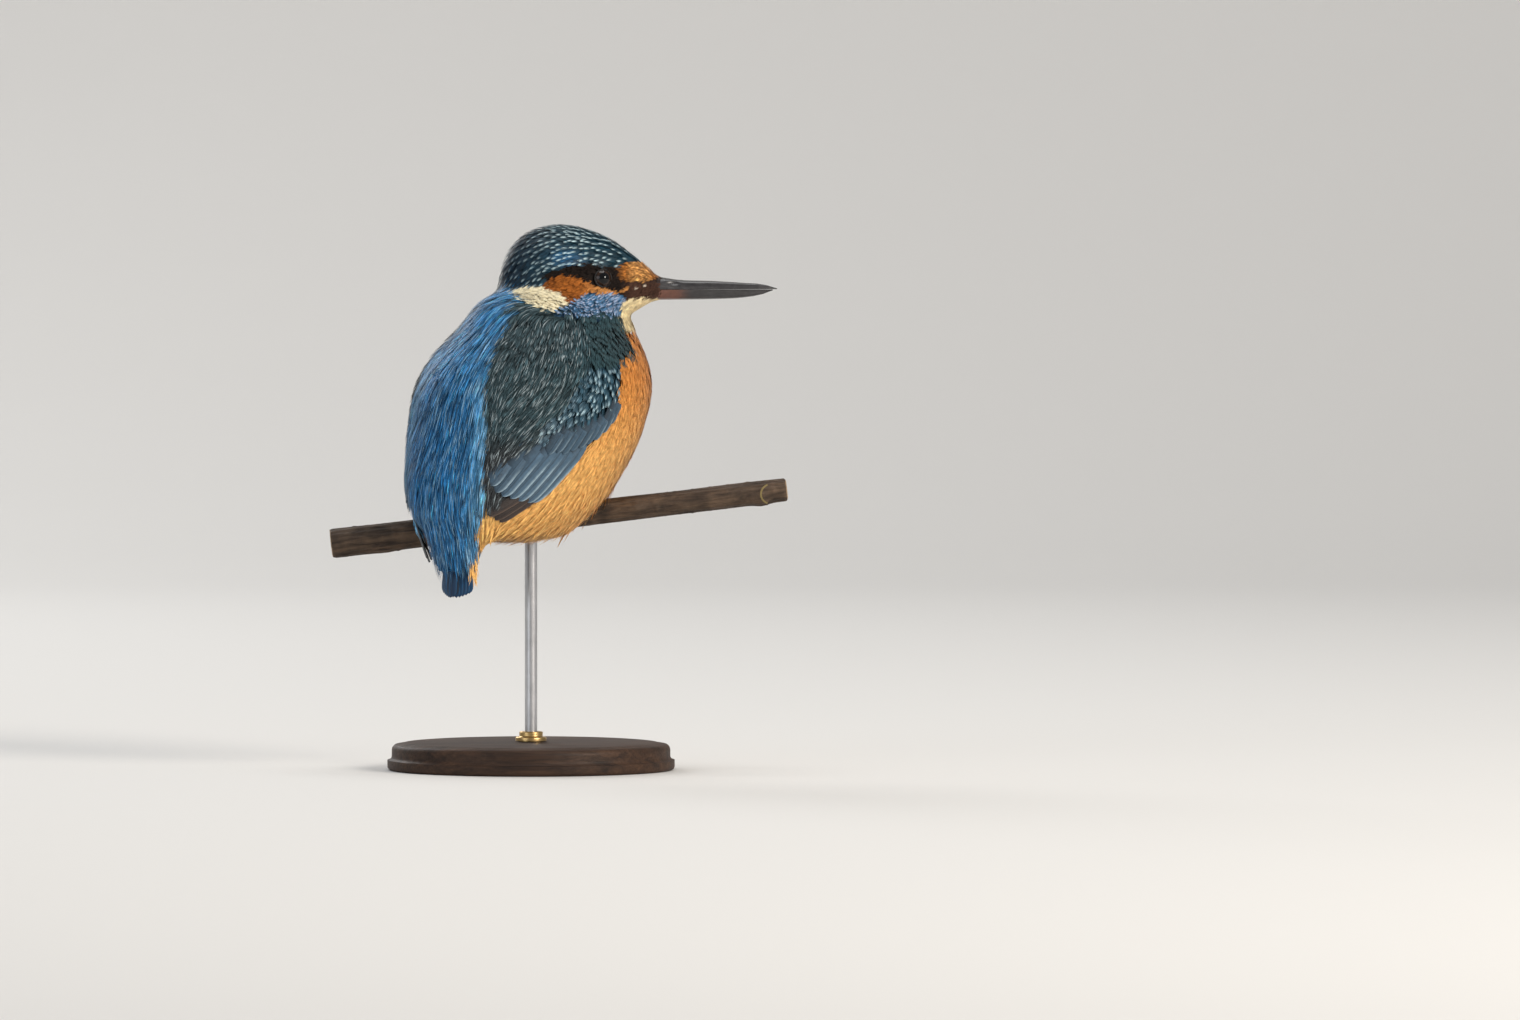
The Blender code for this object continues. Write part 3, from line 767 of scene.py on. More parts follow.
unwrap = {"headAt": 0.76, "headHalf": 0.23, "bodyHalf": 0.49, "bodyFrom": 58.0, "bodyOver": 100.0,
          "patch": 0.0015}  # half the size of one feather's place on the map


def uvPlaces(points):
    # an unwrap of the skin: the head opened out from the bill's tip, the body unrolled round its height
    away = unit(points - np.array(head["centre"]))
    opening = np.arccos(np.clip(away[:, 0], -1, 1)) / math.pi * unwrap["headHalf"]
    roll = np.arctan2(away[:, 2], away[:, 1])
    headUv = np.stack([opening * np.cos(roll), opening * np.sin(roll)], axis=1) + unwrap["headAt"]
    around, left, height = chartOf(points)
    bodyUv = np.stack([0.5 + np.sign(left) * around / 180.0 * unwrap["bodyHalf"],
                       0.01 + (height - unwrap["bodyFrom"]) / unwrap["bodyOver"] * 0.5], axis=1)
    return np.where(onHead(points)[:, None], headUv, np.clip(bodyUv, 0.002, 0.995))


def blend(colours, colour, share):
    return colours * (1 - share[..., None]) + np.array(colour) * share[..., None]


tuft = {  # a tuft of barbs, unless its coat says otherwise
    "material": "soft", "spots": None, "side": 0, "above": 0.0, "below": 999.0,
    "vary": 0.12, "sizes": (0.6, 1.5), "barbSizes": (0.75, 1.25),
    # its way over the surface
    "steps": 4, "joints": 3, "stray": 0.07, "free": 99, "follow": 0.6, "steady": 0.2,
    # where its barbs start and end, and how they spread
    "ragged": 0.05, "round": 0.3, "ends": (0.3, 1.12), "reach": 0.6, "starts": (0.0, 0.9),
    "uneven": (0.06, 0.04), "gather": 0.10, "ease": 0.8, "close": 0.25, "pointed": 0.55,
    # how deep and how high it lies
    "rooted": 1.0, "lieFlat": 1.6, "lift": 0.1, "unruly": 0.05, "dome": 0.0625,
    # how much feathers, barbs and roots differ, and where the marks on a barb come in
    "featherTone": 0.10, "barbTone": 0.14, "rootTone": 0.62, "toneEnds": 1.6,
    "streakFrom": (0.1, 0.6), "streakVary": (0.4, 1.0), "tipFrom": (0.55, 1.0), "tipVary": (0.3, 1.0),
    "spotFade": 0.12,
    # hanging free under the rump, and how far one may bend below and above a height
    "looseBelow": 67.5, "looseBehind": -14.0, "folds": (100.0, 0.25, -0.2),
}


def growFeathers(name, roots, rng, style, colours, spots):
    scale = np.clip(rng.normal(1.0, style["vary"], len(roots)), *style["sizes"])
    path, ups, ways = walkAlong(roots, style["length"] * scale, rng, style)
    height, lower, upper = style["folds"]  # none that fold back over an edge
    straight = (ways[:, 0] * ways[:, -1]).sum(axis=1) > np.where(roots[:, 2] < height, lower, upper)
    parts = (path, ups, ways, roots, colours, scale, spots)
    path, ups, ways, roots, colours, scale, spots = (part[straight] for part in parts)
    count, barbs, joints, steps = len(roots), style["barbs"], style["joints"], style["steps"]
    lengths, halves = style["length"] * scale, style["width"] * scale * 0.5
    sides = unit(np.cross(ups, ways))
    across = np.linspace(-1, 1, barbs)[None, :] + rng.normal(0, style["uneven"][0], (count, barbs))
    ragged = rng.normal(0, style["ragged"], (count, barbs))
    end = np.clip(1.0 - style["round"] * across**2 + ragged, *style["ends"])
    uneven = rng.normal(0, style["uneven"][1], (count, barbs))
    start = np.clip(end - style["reach"] + uneven, *style["starts"])
    t = np.linspace(0, 1, joints + 1)[None, None, :]
    u = start[:, :, None] + (end - start)[:, :, None] * t
    spread = across[:, :, None] * (style["gather"] + (1 - style["gather"]) * t ** style["ease"])
    lateral = halves[:, None, None] * spread * (1.0 - style["close"] * t**3)
    cell = np.clip(u * steps, 0, steps - 1e-6)
    low = np.floor(cell).astype(int)
    part = (cell - low)[..., None]
    rows = np.arange(count)[:, None, None]

    def read(values):
        return values[rows, low] * (1 - part) + values[rows, np.minimum(low + 1, steps)] * part

    here, up, side, way = read(path), unit(read(ups)), unit(read(sides)), unit(read(ways))
    depth = (depthAt(roots) * style["rooted"])[:, None, None]
    inner = np.clip(u, 0.0, 1.0)
    rise = style["lift"] * inner**3 - depth * (1 - inner) ** style["lieFlat"]
    rise = rise + rng.normal(0, style["unruly"], (count, barbs, 1)) * t
    rise = rise - style["dome"] * (across**2)[:, :, None] * halves[:, None, None]
    over = np.clip(u - 1.0, 0.0, 1.0) * lengths[:, None, None]
    line = here + side * lateral[..., None] + up * rise[..., None] + way * over[..., None]
    ahead = np.diff(line, axis=2)
    flat = unit(np.cross(up, unit(np.concatenate([ahead, ahead[:, :, -1:]], axis=2))))
    wide = style["barbWidth"] * 0.5 * (1 - style["pointed"] * t**2)
    wide = (wide * rng.uniform(*style["barbSizes"], (count, barbs, 1)))[..., None]
    # two points at each joint and one at the tip
    edges = np.stack([line + flat * wide, line - flat * wide], axis=3)[:, :, :-1]
    points = np.concatenate([edges.reshape(count, barbs, joints * 2, 3), line[:, :, -1:]], axis=2)
    per = joints * 2 + 1
    strip = [(2 * joints - 2, 2 * joints - 1, 2 * joints)]
    for a in range(2 * joints - 4, -1, -2):
        strip = [(a, a + 1, a + 3), (a, a + 3, a + 2)] + strip
    starts = (np.arange(count * barbs) * per)[:, None, None]
    triangles = (np.array(strip)[None] + starts).reshape(-1, 3)[:, ::-1]
    # each feather, each barb and each stretch of a barb differs a little
    along = np.concatenate([np.repeat(t[0, 0, :-1], 2), [1.0]])[None, None, :]
    tone = np.exp(rng.normal(0, style["featherTone"], (count, 1, 1)))
    tone = tone * np.exp(rng.normal(0, style["barbTone"], (count, barbs, 1)))
    tone = tone * (style["rootTone"] + (1 - style["rootTone"]) * np.minimum(1, along * style["toneEnds"]))
    shade = colours[:, None, None, :] * tone[..., None]
    if "streak" in style:  # some barbs are paler or darker than the rest
        odds, colour, strength = style["streak"]
        chosen = rng.random((count, barbs, 1)) < odds
        share = chosen * rng.uniform(*style["streakVary"], (count, barbs, 1)) * strength
        shade = blend(shade, colour, share * smoothstep(*style["streakFrom"], along))
    if "tip" in style:
        colour, strength = style["tip"]
        share = strength * rng.uniform(*style["tipVary"], (count, barbs, 1))
        shade = blend(shade, colour, share * smoothstep(*style["tipFrom"], along))
    if style["spots"]:  # one pale spot near the end of each feather
        colour, wide, first = style["spots"]
        share = spots[:, None, None] * np.exp(-((across / wide) ** 4))[:, :, None]
        shade = blend(shade, colour, share * smoothstep(first, first + style["spotFade"], along))
    shade = np.clip(np.broadcast_to(shade, (count, barbs, per, 3)), 0, 1)
    base, patch = uvPlaces(roots)[:, None, None], unwrap["patch"]
    places = np.stack(np.broadcast_arrays(base[..., 0] + patch * np.clip(across, -1, 1)[:, :, None],
                                          base[..., 1] + patch * (2 * along - 1)), axis=-1)
    made = meshPiece(name, points.reshape(-1, 3), triangles, {"OFBake": places.reshape(-1, 2)},
                     shade.reshape(-1, 3))
    print(f"{name}: {count} feathers, {len(triangles)} triangles")
    return made


def node(tree, kind, inputs, **settings):
    # adds a node and gives its outputs
    made = tree.nodes.new(kind)
    for key, value in settings.items():
        setattr(made, key, value)
    for key, value in inputs.items():
        socket = made.inputs[key]
        if isinstance(value, bpy.types.NodeSocket):
            tree.links.new(value, socket)
        else:
            socket.default_value = (*value, 1.0) if socket.type == "RGBA" else value
    return made.outputs


def maths(tree, operation, *values):
    return node(tree, "ShaderNodeMath", dict(enumerate(values)), operation=operation)[0]


def mixed(tree, factor, first, second, blendType="MIX"):
    inputs = {0: factor, 6: first, 7: second}
    return node(tree, "ShaderNodeMix", inputs, data_type="RGBA", blend_type=blendType)[2]


def ranged(tree, value, low, high, newLow=0.0, newHigh=1.0, curveType="LINEAR"):
    inputs = {"Value": value, "From Min": low, "From Max": high, "To Min": newLow, "To Max": newHigh}
    return node(tree, "ShaderNodeMapRange", inputs, interpolation_type=curveType)[0]


def newGroup(name, inputs, outputs):
    group = bpy.data.node_groups.new(name, "ShaderNodeTree")
    for label, kind, value in inputs:
        made = group.interface.new_socket(name=label, in_out="INPUT", socket_type="NodeSocket" + kind)
        if value is not None:
            made.default_value = value
    for label, kind in outputs:
        group.interface.new_socket(name=label, in_out="OUTPUT", socket_type="NodeSocket" + kind)
    return group, group.nodes.new("NodeGroupInput").outputs, group.nodes.new("NodeGroupOutput").inputs


def speckleGroup():
    # soft mottling: a colour made a little lighter and darker, with a height for bump
    group, given, out = newGroup("speckle", (
        ("Vector", "Vector", None), ("Color", "Color", (0.5, 0.5, 0.5, 1.0)), ("Scale", "Float", 500.0),
        ("Amount", "Float", 0.3)), (("Color", "Color"), ("Value", "Float")))
    noise = node(group, "ShaderNodeTexNoise",
                 {"Vector": given["Vector"], "Scale": given["Scale"], "Detail": 4.0, "Roughness": 0.6})["Fac"]
    low, high = (maths(group, way, 1.0, given["Amount"]) for way in ("SUBTRACT", "ADD"))
    tone = ranged(group, noise, 0.3, 0.7, low, high)
    scaled = node(group, "ShaderNodeVectorMath", {0: given["Color"], "Scale": tone}, operation="SCALE")[0]
    group.links.new(scaled, out["Color"])
    group.links.new(noise, out["Value"])
    return group


def grainGroup():
    # streaks that run along one axis: wood, bark, horn and drawn metal
    group, given, out = newGroup("grain", (
        ("Vector", "Vector", None), ("Stretch", "Vector", (1.0, 12.0, 12.0)), ("Scale", "Float", 60.0),
        ("Dark", "Color", (0.02, 0.02, 0.02, 1.0)), ("Light", "Color", (0.2, 0.2, 0.2, 1.0)),
        ("Twist", "Float", 0.4)), (("Color", "Color"), ("Value", "Float")))
    wide = node(group, "ShaderNodeVectorMath", {0: given["Vector"], 1: given["Stretch"]},
                operation="MULTIPLY")[0]
    coarse = node(group, "ShaderNodeTexNoise", {"Vector": wide, "Scale": given["Scale"], "Detail": 6.0,
                                                "Roughness": 0.65, "Distortion": given["Twist"]})["Fac"]
    streaks = ranged(group, coarse, 0.32, 0.68)
    group.links.new(mixed(group, streaks, given["Dark"], given["Light"]), out["Color"])
    group.links.new(streaks, out["Value"])
    return group


def barbGroup():
    # the barbs of a flight feather slant from the shaft to the tip on both sides
    group, given, out = newGroup("barbLines", (("Vector", "Vector", None), ("Pitch", "Float", 300.0)),
                                 (("Value", "Float"),))
    parts = node(group, "ShaderNodeSeparateXYZ", {0: given["Vector"]})
    away = maths(group, "ABSOLUTE", maths(group, "SUBTRACT", parts[0], barbOrigin))
    slant = maths(group, "MULTIPLY", maths(group, "SUBTRACT", parts[1], away), given["Pitch"])
    group.links.new(maths(group, "SINE", slant), out["Value"])
    return group


barbOrigin = 3.0  # where the shaft lies on the map named barbs
groups = {"speckle": speckleGroup(), "grain": grainGroup(), "barbLines": barbGroup()}


def placed(tree, group, inputs):
    return node(tree, "ShaderNodeGroup", inputs, node_tree=groups[group])


def startMaterial(name, constants):
    made = bpy.data.materials.new(name)
    made.use_nodes = True
    tree = made.node_tree
    shader = tree.nodes["Principled BSDF"].inputs
    for label, value in constants.items():
        shader[label].default_value = value
    return made, tree, shader, node(tree, "ShaderNodeTexCoord", {})["Object"]


def dress(tree, shader, colour, rough, bump):
    # rough is (value, roughness at 0, roughness at 1); bump is (height, strength, distance in metres)
    tree.links.new(colour, shader["Base Color"])
    tree.links.new(ranged(tree, rough[0], 0.0, 1.0, rough[1], rough[2]), shader["Roughness"])
    if bump:
        inputs = dict(zip(("Height", "Strength", "Distance"), bump))
        tree.links.new(node(tree, "ShaderNodeBump", inputs)[0], shader["Normal"])


def plumageMaterial(name, rough, sheen, specular, amount=0.22, barbs=False):
    made, tree, shader, where = startMaterial(
        name, {"Sheen Weight": sheen, "Sheen Roughness": 0.4, "Specular IOR Level": specular})
    paint = node(tree, "ShaderNodeAttribute", {}, attribute_name="plumage")["Color"]
    mottled = placed(tree, "speckle", {"Vector": where, "Color": paint, "Scale": 900.0, "Amount": amount})
    bump = (mottled["Value"], 0.25, 0.0001)
    if barbs:
        lines = placed(tree, "barbLines", {"Vector": node(tree, "ShaderNodeUVMap", {}, uv_map="barbs")[0],
                                           "Pitch": 210.0})
        bump = (lines["Value"], 0.5, 0.00006)
    dress(tree, shader, mottled["Color"], (mottled["Value"], rough - 0.1, rough + 0.12), bump)
    return made


materials = {  # roughness, sheen, specular
    "skin": plumageMaterial("skinPlumage", 0.8, 0.0, 0.2, 0.35),
    "soft": plumageMaterial("softPlumage", 0.8, 0.2, 0.12),
    "silky": plumageMaterial("silkyPlumage", 0.5, 0.08, 0.28),
    "vane": plumageMaterial("vanePlumage", 0.5, 0.04, 0.32),
    "flight": plumageMaterial("flightPlumage", 0.5, 0.1, 0.4, 0.16, True),
}
finishPiece(skin, materials["skin"], "plumage", "head", "neck", "trunk", "wing_left", "wing_right")

flight = {
    # root and tip of each, as (degrees round the body, height)
    "secondaries": (
        ((98.0, 108.3), (119.3, 86.9)), ((105.0, 107.4), (122.6, 86.9)), ((110.0, 107.6), (128.2, 87.4)),
        ((115.0, 107.4), (133.2, 88.2)), ((121.0, 107.6), (138.0, 88.9)), ((126.0, 108.9), (141.8, 90.2)),
        ((130.5, 111.3), (144.6, 92.2)),
    ),
    "buried": (0.35, 0.35, 0.35, 0.35, 0.40, 0.58, 0.78),  # the share of each that lies under the others
    "primaries": (((112.0, 92.0), (137.0, 80.6)), ((116.0, 92.0), (140.6, 81.3)),
                  ((120.0, 92.0), (144.0, 82.6))),
    # the left wing's primaries stand free: root and tip in the body's own frame
    "leftPoint": (((-34.6, 19.6, 90.0), (-31.2, 12.8, 67.6)), ((-36.2, 18.4, 90.0), (-32.4, 12.5, 66.9)),
                  ((-37.6, 17.2, 90.0), (-33.7, 12.2, 68.2))),
    "leftFacing": (-0.72, 0.69, 0.05), "leftOut": 0.5, "leftBow": 0.5,
    "leftDroop": (112.0, 33.0, 1.3, 10.0),  # the left wing hangs lower: from, over, at most, by
    # widths of the outer and inner vane
    "widths": {"secondaries": (1.9, 3.4), "primaries": (1.0, 2.4), "covers": (1.5, 2.7)},
    # nine shorter feathers cover the roots: ends by degrees and height, and where their roots lie from there
    "covers": {"line": ((86, 112.8), (90, 109.6), (95, 107.2), (101, 105.2), (112, 103.0), (122, 101.6),
                        (128, 103.0), (134, 106.4), (141, 109.2), (150, 110.4)),
               "count": 9, "first": 87.5, "apart": 4.1, "root": (-5.5, 9.0), "seed": 5},
    # edge and brownEdge are a painted highlight along each feather's outer edge
    "dark": (0.024, 0.052, 0.082), "light": (0.060, 0.115, 0.175), "edge": (0.34, 0.46, 0.54), "darken": 0.45,
    "brown": (0.040, 0.028, 0.024), "brownEdge": (0.20, 0.13, 0.09), "leftBrown": (0.040, 0.050, 0.062),
    "seed": 21,
}
# its edge colour is a painted highlight along each tail feather's outer edge
tailFan = {"top": 90.0, "bottom": 55.9, "forward": -36.4, "half": 6.6, "count": 12, "widths": (1.5, 3.0),
           "colour": (0.005, 0.040, 0.105), "edge": (0.014, 0.10, 0.22), "under": (0.030, 0.034, 0.042),
           "seed": 31}
vane = {  # a long feather, unless it says otherwise
    "rows": 28, "columns": (-1.0, -0.8, -0.55, -0.3, -0.08, 0.0, 0.08, 0.3, 0.55, 0.76, 0.9, 1.0),
    "bunch": 1.5, "smooth": 4, "thick": 0.14, "shaft": (0.10, 0.07), "curl": 0.10,
    "opens": (-0.05, 0.22), "blunt": 2.4, "rises": (-0.1, 0.3), "trail": 0.012, "edgeWander": 0.018,
    "free": False, "bow": 0.0, "close": 0.82, "buried": 0.35, "bury": 0.35, "sunk": 0.9,
    # how much barbs, rows and feathers differ; the inner vane, darker in itself and with painted shade, and
    # the darker shaft; where the painted highlight along the outer edge lies
    "tones": (0.05, 0.10, 0.08), "innerDarkAndShade": (0.6, -0.9), "shaftDark": (0.5, 0.06),
    "highlightEdge": (0.5, 0.95), "highlightFrom": (-0.1, 0.2), "mapScale": 0.1,
}


def onTrunk(around, height, side):
    # the outermost point of the coat at an angle round the body
    turn = math.radians(around)
    start = fromBody(float(curve(height, body["middle"])), 0.0, height)
    ray = fromBody(math.cos(turn), side * math.sin(turn), 0.0)
    place = outer["tree"].ray_cast(Vector(start + ray * 90.0), Vector(-ray), 120.0)[0]
    return np.array(place) if place is not None else start + ray * 30.0


def vaneMesh(name, feathers, seed):
    # each feather is a thin closed shell: two vanes either side of a raised shaft
    rng = np.random.default_rng(seed)
    rows, columns = vane["rows"], np.array(vane["columns"])
    points, faces, colours, barbMap, patchMap = [], [], [], [], []
    count = rows * len(columns)
    t = 1 - (1 - np.linspace(0, 1, rows)) ** vane["bunch"]
    for index, own in enumerate(feathers):
        feather = {**vane, **own}
        root, tip = np.array(feather["root"]), np.array(feather["tip"])
        line = root + (tip - root) * t[:, None]
        if feather["free"]:
            up = np.repeat(np.array(feather["up"])[None], rows, 0)
            line = line + up * (feather["bow"] * 4 * t * (1 - t))[:, None]
        else:
            line, up = onSurface(line)
            for _ in range(vane["smooth"]):
                line[1:-1] = (line[:-2] + 2 * line[1:-1] + line[2:]) / 4
                up[1:-1] = unit(up[:-2] + 2 * up[1:-1] + up[2:])
        way = unit(np.gradient(line, axis=0))
        side = unit(np.cross(up, way))
        if (side * np.array(feather["outward"])).sum() < 0:
            side = -side
        length = np.linalg.norm(tip - root)
        close = feather["close"]
        closing = np.clip((t - close) / (1.001 - close), 0, 1)
        ends = smoothstep(*vane["opens"], t) * np.sqrt(1 - closing ** vane["blunt"])
        outerWidth, innerWidth = feather["widths"]
        reach = np.where(columns > 0, columns * outerWidth, columns * innerWidth)
        wander = rng.normal(0, vane["edgeWander"], (rows, len(columns))) * (abs(columns) > 0.95)
        offset = reach[None] * (ends[:, None] + wander)
        # the ends of the barbs trail a little behind
        along = -abs(columns[None]) * vane["trail"] * length * smoothstep(0.0, 0.3, t)[:, None]
        spot = line[:, None] + side[:, None] * offset[..., None] + way[:, None] * along[..., None]
        if not feather["free"]:
            spot = onSurface(spot.reshape(-1, 3))[0].reshape(spot.shape)
        lift = feather["lift"][0] + (feather["lift"][1] - feather["lift"][0]) * (columns + 1) / 2
        shaft, wide = vane["shaft"]
        height = lift[None] * smoothstep(*vane["rises"], t)[:, None] + shaft * bell(columns, wide)[None]
        buried = feather["buried"]
        sunk = feather["sunk"] * (1 - smoothstep(buried - vane["bury"], buried, t))[:, None]
        height = height - sunk - vane["curl"] * (columns**2)[None]
        top = spot + up[:, None] * height[..., None]
        low = top - up[:, None] * vane["thick"]
        grid = np.arange(count).reshape(rows, len(columns)) + 2 * count * index
        quads = np.stack([grid[:-1, :-1], grid[:-1, 1:], grid[1:, 1:], grid[1:, :-1]], axis=-1).reshape(-1, 4)
        rim = np.concatenate([grid[0], grid[1:, -1], grid[-1, -2::-1], grid[-2:0:-1, 0]])
        nextRim = np.roll(rim, -1)
        wall = np.stack([rim, nextRim, nextRim + count, rim + count], axis=-1)
        if (np.cross(top[1, 1] - top[0, 1], top[0, 2] - top[0, 1]) * up[0]).sum() > 0:
            quads = quads[:, ::-1]
        else:
            wall = wall[:, ::-1]
        for sheet in (quads, quads[:, ::-1] + count, wall):
            faces.append(np.concatenate([sheet[:, [0, 1, 2]], sheet[:, [0, 2, 3]]]))
        each, row, whole = vane["tones"]
        tone = np.exp(rng.normal(0, each, (rows, len(columns))) + rng.normal(0, row, (1, len(columns))))
        paint = np.array(feather["colour"]) * tone[..., None] * np.exp(rng.normal(0, whole))
        # the inner vane is painted darker, partly its own colour and partly painted shade under the next
        # feather; the outer edge gets a painted highlight
        dark, far = vane["innerDarkAndShade"]
        paint = paint * (1 - dark * smoothstep(0.0, far, columns)[None, :, None])
        first, last = (buried + shift for shift in vane["highlightFrom"])
        bright = smoothstep(*vane["highlightEdge"], columns)[None] * smoothstep(first, last, t)[:, None]
        paint = blend(paint, feather["edge"], bright * feather["paintedHighlight"])
        dark, wide = vane["shaftDark"]
        paint = paint * (1 - dark * bell(columns, wide)[None, :, None])
        points += [top.reshape(-1, 3), low.reshape(-1, 3)]
        colours += [paint.reshape(-1, 3), np.array(feather["under"]) * np.ones((count, 1))]
        flat = np.stack(np.broadcast_arrays(reach[None] * ends[:, None], (t * length)[:, None]), axis=-1)
        barbMap += [flat.reshape(-1, 2) * vane["mapScale"] + barbOrigin] * 2
        small = np.stack(np.broadcast_arrays(columns[None], 2 * t[:, None]), axis=-1).reshape(-1, 2)
        patchMap += [uvPlaces(root[None])[0] + unwrap["patch"] * small] * 2
    made = meshPiece(name, np.concatenate(points), np.concatenate(faces),
                     {"OFBake": np.concatenate(patchMap), "barbs": np.concatenate(barbMap)},
                     np.clip(np.concatenate(colours), 0, 1))
    print(f"{name}: {len(feathers)} long feathers")
    return made


def wingFeathers(side):
    made = []
    down = fromBody(0.7, 0.0, -0.7)
    widths, covers = flight["widths"], flight["covers"]

    def onWing(around, height):
        start, over, most, drop = flight["leftDroop"]
        if side > 0:
            height = height - drop * np.clip((start - height) / over, 0.0, most) ** 2
        return onTrunk(around, height, side)

    for index, (root, tip) in enumerate(flight["primaries"]):
        feather = {"widths": widths["primaries"], "lift": (-0.2, 0.35), "outward": down,
                   "colour": flight["brown"], "edge": flight["brownEdge"], "paintedHighlight": 0.6,
                   "under": flight["brown"]}
        if side > 0:
            up = fromBody(*flight["leftFacing"])
            root, tip = (fromBody(*spot) + flight["leftOut"] * up for spot in flight["leftPoint"][index])
            feather.update(root=root, tip=tip, up=up, free=True, bow=flight["leftBow"],
                           colour=flight["leftBrown"])
        else:
            feather.update(root=onWing(*root), tip=onWing(*tip))
        made.append(feather)
    for index, (root, tip) in enumerate(flight["secondaries"]):
        share = index / (len(flight["secondaries"]) - 1) * flight["darken"]
        colour = np.array(flight["light"]) * (1 - share) + np.array(flight["dark"]) * share
        made.append({"root": onWing(*root), "tip": onWing(*tip), "widths": widths["secondaries"],
                     "buried": flight["buried"][index], "lift": (-0.1, 0.5), "outward": down,
                     "colour": colour, "edge": flight["edge"], "paintedHighlight": 0.85, "under": flight["dark"]})
    rng = np.random.default_rng(covers["seed"])
    for index in range(covers["count"]):
        around = covers["first"] + index * covers["apart"] + rng.uniform(-0.8, 0.8)
        height = float(curve(around, covers["line"])) + rng.uniform(-0.6, 0.6)
        made.append({"root": onWing(around + covers["root"][0], height + covers["root"][1]),
                     "tip": onWing(around, height), "widths": np.array(widths["covers"]) *
                     rng.uniform(0.85, 1.1), "lift": (-0.1, 0.55), "outward": down,
                     "colour": np.array(flight["dark"]) * rng.uniform(1.1, 1.6), "edge": flight["edge"],
                     "paintedHighlight": rng.uniform(0.1, 0.45), "under": flight["dark"], "sunk": 2.2, "close": 0.72})
    return vaneMesh("flightFeathers" + ("Left" if side > 0 else "Right"), made, flight["seed"] + side)


def tailFeathers():
    made = []
    half = tailFan["count"] // 2
    for index in range(half - 1, -1, -1):  # the middle pair lies on top
        share = (index + 0.35) / (half - 0.5)
        depth = tailFan["forward"] + 0.55 + 0.36 * index
        end = tailFan["bottom"] + 1.6 * share**2 + (0.3 if index == 0 else 0.0)
        for side in (-1, 1):
            reach = side * tailFan["half"] * share
            made.append({"root": fromBody(depth + 1.6, reach * 0.55, tailFan["top"]), "tip": fromBody(depth
                         + 0.9, reach * 0.92, end), "widths": tailFan["widths"], "up": fromBody(-1.0, side *
                         share * 0.25, -0.05), "outward": fromBody(0.0, side, 0.0), "free": True,
                         "bow": -0.2, "close": 0.93, "lift": (-0.05, 0.1), "paintedHighlight": 0.7,
                         "colour": tailFan["colour"], "edge": tailFan["edge"], "under": tailFan["under"]})
    return vaneMesh("tailFeathers", made, tailFan["seed"])


longFeathers = [wingFeathers(-1), wingFeathers(1)]
for piece in longFeathers:
    finishPiece(piece, materials["flight"], "wing_feathers")
laid = [surfaceOf(piece)["tree"] for piece in longFeathers]
finishPiece(tailFeathers(), materials["flight"], "tail_feathers", "tail")

# zones covered, then millimetres for spacing, length, width and barbWidth
backFeathers = {
    "zones": ("back",), "spacing": 1.5, "length": 12.0, "width": 3.4, "barbs": 9, "barbWidth": 0.26,
    "material": "silky", "round": 0.2, "ragged": 0.14, "reach": 0.8, "steps": 5, "joints": 4, "lift": 0.35,
    "unruly": 0.22, "barbTone": 0.55, "featherTone": 0.28, "stray": 0.08, "close": 0.45,
    "streak": (0.2, (0.34, 0.60, 0.80), 0.85),
}
